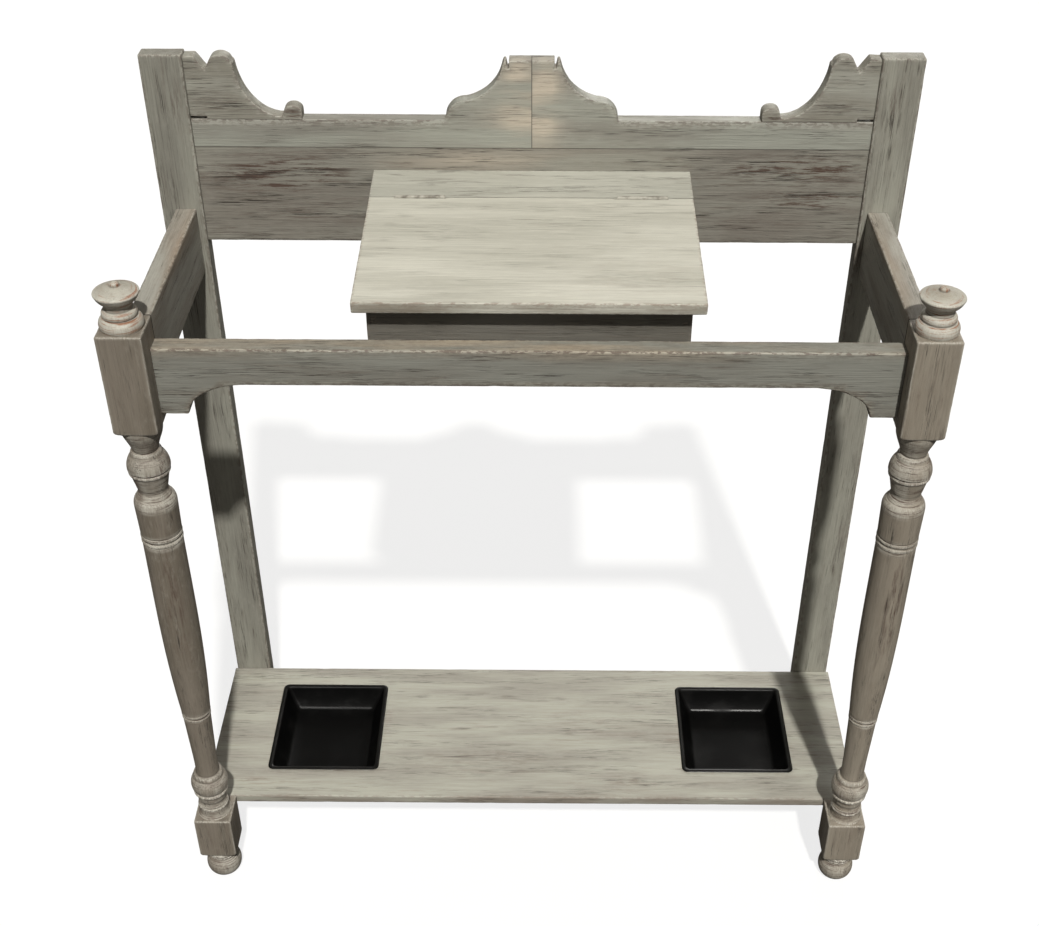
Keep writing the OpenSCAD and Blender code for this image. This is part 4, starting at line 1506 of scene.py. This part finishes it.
@dataclass
class GloveBox:
    """The glove box, its fixed strip and its sloping lid.

    Attributes:
        stand: The shared sizes.
        width: Width of the box.
        wall: Thickness of its boards.
        bottom_z: Its underside.
        bottom_t: Thickness of its bottom.
        rise: Height of the strip's back edge above the back board's lower edge.
        slope: Slope of the lid, in degrees.
        lid_t: Thickness of the lid and the strip.
        lid_over: How far they stand out at the sides.
        front_over: How far the lid stands out in front.
        strip_w: Width of the strip, up the slope.
        seam: Gap between the lid and the strip.
        lid_gap: Gap between the lid and the box.
        hinge_l: Length of a hinge.
        hinge_inset: A hinge's middle, from the end of the lid.
        knuckle_r: Radius of the groove for the knuckles.
        leaf_h: Depth of the bed for a leaf.
        leaf_t: Thickness of a leaf with its play.
    """

    stand: Stand
    width: float = 296.0
    wall: float = 10.0
    bottom_z: float = 678.5
    bottom_t: float = 8.0
    rise: float = 79.0
    slope: float = 4.6
    lid_t: float = 11.5
    lid_over: float = 11.0
    front_over: float = 18.0
    strip_w: float = 54.0
    seam: float = 1.0
    lid_gap: float = 0.3
    hinge_l: float = 50.0
    hinge_inset: float = 50.0
    knuckle_r: float = 2.5
    leaf_h: float = 9.5
    leaf_t: float = 1.2

    @property
    def _hinge(self) -> Point2:
        """The hinge line: the lid's top at the middle of the seam.

        Returns:
            Its y and z.
        """
        a = math.radians(self.slope)
        back_z = self.stand.board_z + self.rise
        return (self.stand.board_y - self.strip_w * math.cos(a), back_z - self.strip_w * math.sin(a))

    def _on_slope(self, u: float, w: float) -> Point2:
        """Gives the place of a point on the lid.

        Args:
            u: How far it lies up the slope from the hinge line.
            w: How far above the lid's top, square to it.

        Returns:
            Its y and z.
        """
        a, (y, z) = math.radians(self.slope), self._hinge
        return (y + u * math.cos(a) - w * math.sin(a), z + u * math.sin(a) + w * math.cos(a))

    def _top(self, y: float) -> float:
        """Gives the height of the box's edge under the lid.

        Args:
            y: A place from front to back.

        Returns:
            The height there.
        """
        a, (hy, hz) = math.radians(self.slope), self._hinge
        return hz + (y - hy) * math.tan(a) - (self.lid_t + self.lid_gap) / math.cos(a)

    def _wall(self, name: str, y0: float, y1: float, x0: float, x1: float, grain: Grain, seed: float) -> None:
        """Makes one upright board of the box.

        Args:
            name: The CAD node that it stands for.
            y0: Its front.
            y1: Its back.
            x0: Its left end.
            x1: Its right end.
            grain: The way its grain runs.
            seed: Moves its patterns.
        """
        # painted shade: the box's boards take a much darker paint than the rest, for the shade under the lid
        # and behind the rail
        finish = ChalkPaintedOak(
            f"chalk-painted oak, {name.replace('_', ' ')}", grain, "#686660", "#5c5952", "#7f7d74",
            seed=seed, pores=0.6, rubbed=0.3, edge_coat_and_highlight=0.4,
        )
        board = Timber(
            f"{name}_board", Plane.YZ, x0, x1,
            outline=[(y0, self.bottom_z), (y1, self.bottom_z), (y1, self._top(y1)), (y0, self._top(y0))],
            arris=0.9, pitch=9, knocks=0.2, wear_width=2.5,
        ).build()
        if grain is Grain.X:
            carve(board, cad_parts["box_nails"])
        settle(board, finish.build(), "frame", "painted_wood", name)

    def _box(self) -> None:
        """Makes the five boards of the box."""
        s, t, half = self.stand, self.wall, self.width / 2
        y0, y1 = s.rail_y, s.board_y
        self._wall("box_front", y0, y0 + t, -half, half, Grain.X, 35.0)
        self._wall("box_back", y1 - t, y1, -half, half, Grain.X, 36.3)
        self._wall("box_side_left", y0 + t, y1 - t, -half, t - half, Grain.Y, 37.9)
        self._wall("box_side_right", y0 + t, y1 - t, half - t, half, Grain.Y, 39.2)
        finish = ChalkPaintedOak(
            "thinly painted oak, box bottom", Grain.X, "#7d7568", "#6b6053", "#8d8678",
            seed=41.0, pores=0.6, rubbed=0.6,
        )
        bottom = Timber(
            "box_bottom_board", Plane.XY, self.bottom_z, self.bottom_z + self.bottom_t,
            outline=[(t - half, y0 + t), (half - t, y0 + t), (half - t, y1 - t), (t - half, y1 - t)],
            arris=0.6, pitch=14, knocks=0.2,
        ).build()
        settle(bottom, finish.build(), "frame", "painted_wood", "box_bottom")

    def _hinge_beds(self, board: bpy.types.Object, towards: int) -> None:
        """Cuts the hinges' grooves and leaf beds into one side of the seam.

        Args:
            board: The lid or the strip.
            towards: 1 for the strip and -1 for the lid.
        """
        y, z = self._hinge
        long, leaf_edge, round_r = self.hinge_l + 0.1, self.seam / 2 + self.leaf_t, self.knuckle_r
        y0, y1 = (0, leaf_edge) if towards > 0 else (-leaf_edge, 0)
        for side in SIDES.values():
            at = Matrix.Translation((side * (self.width / 2 + self.lid_over - self.hinge_inset), y, z))
            at = at @ Matrix.Rotation(math.radians(self.slope), 4, "X")
            lying = at @ Matrix.Rotation(math.pi / 2, 4, "Y")
            groove, bed = bmesh.new(), bmesh.new()
            bmesh.ops.create_cone(
                groove, cap_ends=True, segments=28, radius1=round_r, radius2=round_r, depth=long, matrix=lying
            )
            bmesh.ops.create_cube(
                bed, size=1, matrix=at @ Matrix.Translation((0, (y0 + y1) / 2, -self.leaf_h / 2))
                @ Matrix.Diagonal((long, y1 - y0, self.leaf_h, 1)),
            )
            for bm in (groove, bed):
                cutter = object_from("hinge_bed", bm, 30)
                carve(board, cutter)
                bpy.data.objects.remove(cutter)

    def _strip(self) -> None:
        """Makes the fixed strip behind the lid."""
        s, half = self.stand, self.width / 2 + self.lid_over
        back_z = s.board_z + self.rise
        low = -self.lid_t - self.lid_gap
        outline = [
            self._on_slope(self.seam / 2, low),
            (s.board_y, back_z + low / math.cos(math.radians(self.slope))),
            (s.board_y, back_z), self._on_slope(self.seam / 2, 0),
        ]
        finish = ChalkPaintedOak(
            "chalk-painted oak, hinge strip", Grain.X, "#b2b1a6", "#a3a297", "#c8c6bc",
            seed=43.6, pores=0.5, rubbed=0.16, edge_coat_and_highlight=0.4, edge_bare=0.3,
        )
        strip = Timber(
            "lid_strip", Plane.YZ, -half, half, outline=outline, arris=0.8, pitch=8, knocks=0.1,
            wear_width=2.5, joints=((1, self._hinge[0]),), joint_slack=1.8,
        ).build()
        self._hinge_beds(strip, 1)
        settle(strip, finish.build(), "frame", "pale_painted_wood", "hinge_strip")

    def _lid(self) -> None:
        """Makes the lid."""
        s, half = self.stand, self.width / 2 + self.lid_over
        front_y = s.rail_y - self.front_over
        length = (self._hinge[0] - front_y) / math.cos(math.radians(self.slope))
        outline = [
            self._on_slope(-length, -self.lid_t), self._on_slope(-self.seam / 2, -self.lid_t),
            self._on_slope(-self.seam / 2, 0), self._on_slope(-length, 0),
        ]
        finish = ChalkPaintedOak(
            "chalk-painted oak, lid", Grain.X, "#c2c0b4", "#b2b0a4", "#d3d0c5",
            seed=46.8, pores=0.26, rubbed=0.1, edge_coat_and_highlight=0.5, edge_bare=0.5, oak="#6b5140", tan="#7a7264",
        )
        lid = Timber(
            "lid_board", Plane.YZ, -half, half, outline=outline, arris=1.4, pitch=7, knocks=0.3,
            wear_width=3.0, joints=((1, self._hinge[0]),), joint_slack=1.8,
            patches=(
                Patch(WearAndPaintedLight.TAN, (0, front_y - 1.5, self._on_slope(-length, -8)[1]), (500, 2.4, 9), 1.7),
                Patch(WearAndPaintedLight.RUB, (60, front_y - 2, self._on_slope(-length, -8)[1]), (200, 2.4, 5), 0.7),
                Patch(WearAndPaintedLight.RUB, (110, front_y + 40, self._on_slope(-length, 0)[1]), (60, 30, 9), 0.14),
            ),
        ).build()
        self._hinge_beds(lid, -1)
        settle(lid, finish.build(), "lid", "pale_painted_wood", "lid")

    def build(self) -> None:
        """Makes the box, the strip and the lid."""
        self._box()
        self._strip()
        self._lid()


class Fixings:
    """The hinges, screws, nails and dowels, which keep their CAD shape and get a finish."""

    FINISHES = {
        "painted steel": Fitting("steel butt hinge, painted over", "#a3a095", "#6f6a60", 0.0, 0.6),
        "screw": Fitting("steel wood screw, browned", "#77726a", "#4a3d33", 1.0, 0.38),
        "dowel": Fitting("beech dowel, turned", "#b08d66", "#8a6747", 0.0, 0.6, Grain.Z),
    }
    KINDS = {
        "painted steel": ("fixed_leaf_left", "fixed_leaf_right", "moving_leaf_left", "moving_leaf_right",
                          "hinge_pin_left", "hinge_pin_right"),
        "screw": ("fixed_leaf_screws", "moving_leaf_screws", "shelf_screws", "box_nails"),
        "dowel": ("board_dowels", "crest_dowels", "bracket_dowels", "rail_dowels", "shelf_dowels"),
    }

    def build(self) -> None:
        """Gives each fixing its finish."""
        for kind, names in self.KINDS.items():
            finish = self.FINISHES[kind].build()
            for name in names:
                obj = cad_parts[name]
                obj.data.materials.clear()
                obj.data.materials.append(finish)
                LOG.info("%s: %s", name, finish.name)


@dataclass
class Studio:
    """The pale floor, the white backdrop, the lamps and the camera.

    Attributes:
        lens: Focal length, on a 36 mm wide sensor.
        shift: The camera's shift, in widths of the picture.
        eye: Where the camera stands.
        pitch: How far it looks down, in degrees.
        yaw: How far it turns to the right.
        roll: How far it leans.
        sun: The way to the key light.
        key_energy: Its strength.
        behind: The way to the weak light behind the stand.
        fill_energy: Its strength.
        sky: Strength of the soft light all round, below and above.
        floor_half: Half the side of the floor.
        dome_r: Radius of the backdrop.
    """

    lens: float = 51.26
    shift: Point2 = (-0.0187, 0.0556)
    eye: Point3 = (14.57, -1271.67, 1409.06)
    pitch: float = 37.4957
    yaw: float = -0.2494
    roll: float = 0.2112
    sun: Point3 = (0.152, -1.0, 1.28)
    key_energy: float = 3.9
    behind: Point3 = (0.2, 1.0, 0.32)
    fill_energy: float = 1.1
    sky: Point2 = (0.08, 0.22)
    floor_half: float = 9000.0
    dome_r: float = 8500.0

    def _camera(self) -> None:
        """Sets up the camera."""
        p, y, r = (math.radians(a) for a in (self.pitch, self.yaw, self.roll))
        ahead = Vector((math.sin(y) * math.cos(p), math.cos(y) * math.cos(p), -math.sin(p)))
        right = Vector((math.cos(y), -math.sin(y), 0))
        up = right.cross(ahead)
        right, up = right * math.cos(r) + up * math.sin(r), up * math.cos(r) - right * math.sin(r)
        data = bpy.data.cameras.new("camera")
        data.lens, data.sensor_width = self.lens, 36.0
        data.shift_x, data.shift_y = self.shift
        data.clip_end = 100.0
        camera = bpy.data.objects.new("camera", data)
        turn = Matrix((right, up, -ahead)).transposed().to_4x4()
        camera.matrix_world = Matrix.Translation(Vector(self.eye) * MM) @ turn
        bpy.context.scene.collection.objects.link(camera)
        bpy.context.scene.camera = camera

    def _floor(self) -> None:
        """Lays the floor: pale, slightly mottled, and lit a little from itself."""
        bm = bmesh.new()
        bmesh.ops.create_grid(bm, x_segments=8, y_segments=8, size=self.floor_half)
        floor = object_from("floor", bm, 30)
        material, tree = new_tree("matt white studio floor")
        tone = Pattern(400, 400, 0.3, 0.7, 2.0).build(tree, Grain.X, 0.0)
        colour = add(
            tree, "ShaderNodeMix", {"data_type": "RGBA"},
            {FIRST: linear("#7b7b7a"), SECOND: linear("#787877")}, {FACTOR: tone},
        )
        shader = add(
            tree, "ShaderNodeBsdfPrincipled", None,
            {"Roughness": 0.9, "Emission Color": (1, 1, 1, 1), "Emission Strength": 0.78},
            {"Base Color": colour.outputs[MIXED]},
        )
        add(tree, "ShaderNodeOutputMaterial", None, None, {"Surface": shader.outputs[0]})
        floor.data.materials.append(material)
        # the floor is seen and catches shadows, but throws no light or sheen up at the stand
        floor.visible_diffuse = floor.visible_glossy = False

    def _backdrop(self) -> None:
        """Puts a plain white dome far round the stand, which only the camera sees."""
        bm = bmesh.new()
        bmesh.ops.create_uvsphere(bm, u_segments=64, v_segments=32, radius=self.dome_r)
        dome = object_from("backdrop", bm, 30)
        material, tree = new_tree("white studio backdrop")
        shader = add(tree, "ShaderNodeEmission", None, {"Color": linear("#ffffff"), "Strength": 1.0})
        add(tree, "ShaderNodeOutputMaterial", None, None, {"Surface": shader.outputs[0]})
        dome.data.materials.append(material)
        dome.visible_diffuse = dome.visible_glossy = dome.visible_shadow = False
        dome.visible_transmission = False

    def _lamp(self, name: str, towards: Point3, energy: float, spread: float) -> None:
        """Hangs a distant lamp.

        Args:
            name: Its name.
            towards: The way from the stand to it.
            energy: Its strength.
            spread: How wide it looks, in degrees, which softens its shadows.
        """
        data = bpy.data.lights.new(name, "SUN")
        data.energy, data.angle = energy, math.radians(spread)
        data.color = linear("#fffdf8")[:3]
        lamp = bpy.data.objects.new(name, data)
        lamp.matrix_world = Vector(towards).to_track_quat("Z", "Y").to_matrix().to_4x4()
        bpy.context.scene.collection.objects.link(lamp)

    def _light(self) -> None:
        """Hangs the key light and a weak one behind, and sets the soft light all round."""
        self._lamp("key", self.sun, self.key_energy, 2.2)
        self._lamp("back_fill", self.behind, self.fill_energy, 28)
        world = bpy.data.worlds.new("studio")
        world.use_nodes = True
        tree = world.node_tree
        tree.nodes.clear()
        where = add(tree, "ShaderNodeTexCoord")
        split = add(tree, "ShaderNodeSeparateXYZ", None, None, {0: where.outputs["Generated"]})
        up = add(
            tree, "ShaderNodeMapRange", None,
            {"From Min": -0.25, "From Max": 0.25, "To Min": self.sky[0], "To Max": self.sky[1]},
            {"Value": split.outputs["Z"]},
        )
        sky = add(
            tree, "ShaderNodeBackground", None, {"Color": linear("#fdf8f0")},
            {"Strength": up.outputs["Result"]},
        )
        add(tree, "ShaderNodeOutputWorld", None, None, {"Surface": sky.outputs[0]})
        bpy.context.scene.world = world
        bpy.context.scene.view_settings.view_transform = "Standard"

    def build(self) -> None:
        """Makes the camera, the floor, the backdrop and the light."""
        self._camera()
        self._floor()
        self._backdrop()
        self._light()


def main() -> None:
    """Builds and dresses the stand."""
    logging.basicConfig(level=logging.INFO, format="%(message)s")
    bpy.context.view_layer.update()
    stand = Stand()
    Studio().build()
    BackFrame(stand).build()
    Rails(stand).build()
    for side in SIDES:
        FrontLeg(stand, side).build()
    ShelfAndTrays(stand).build()
    GloveBox(stand).build()
    Fixings().build()


if __name__ == "__main__":
    main()
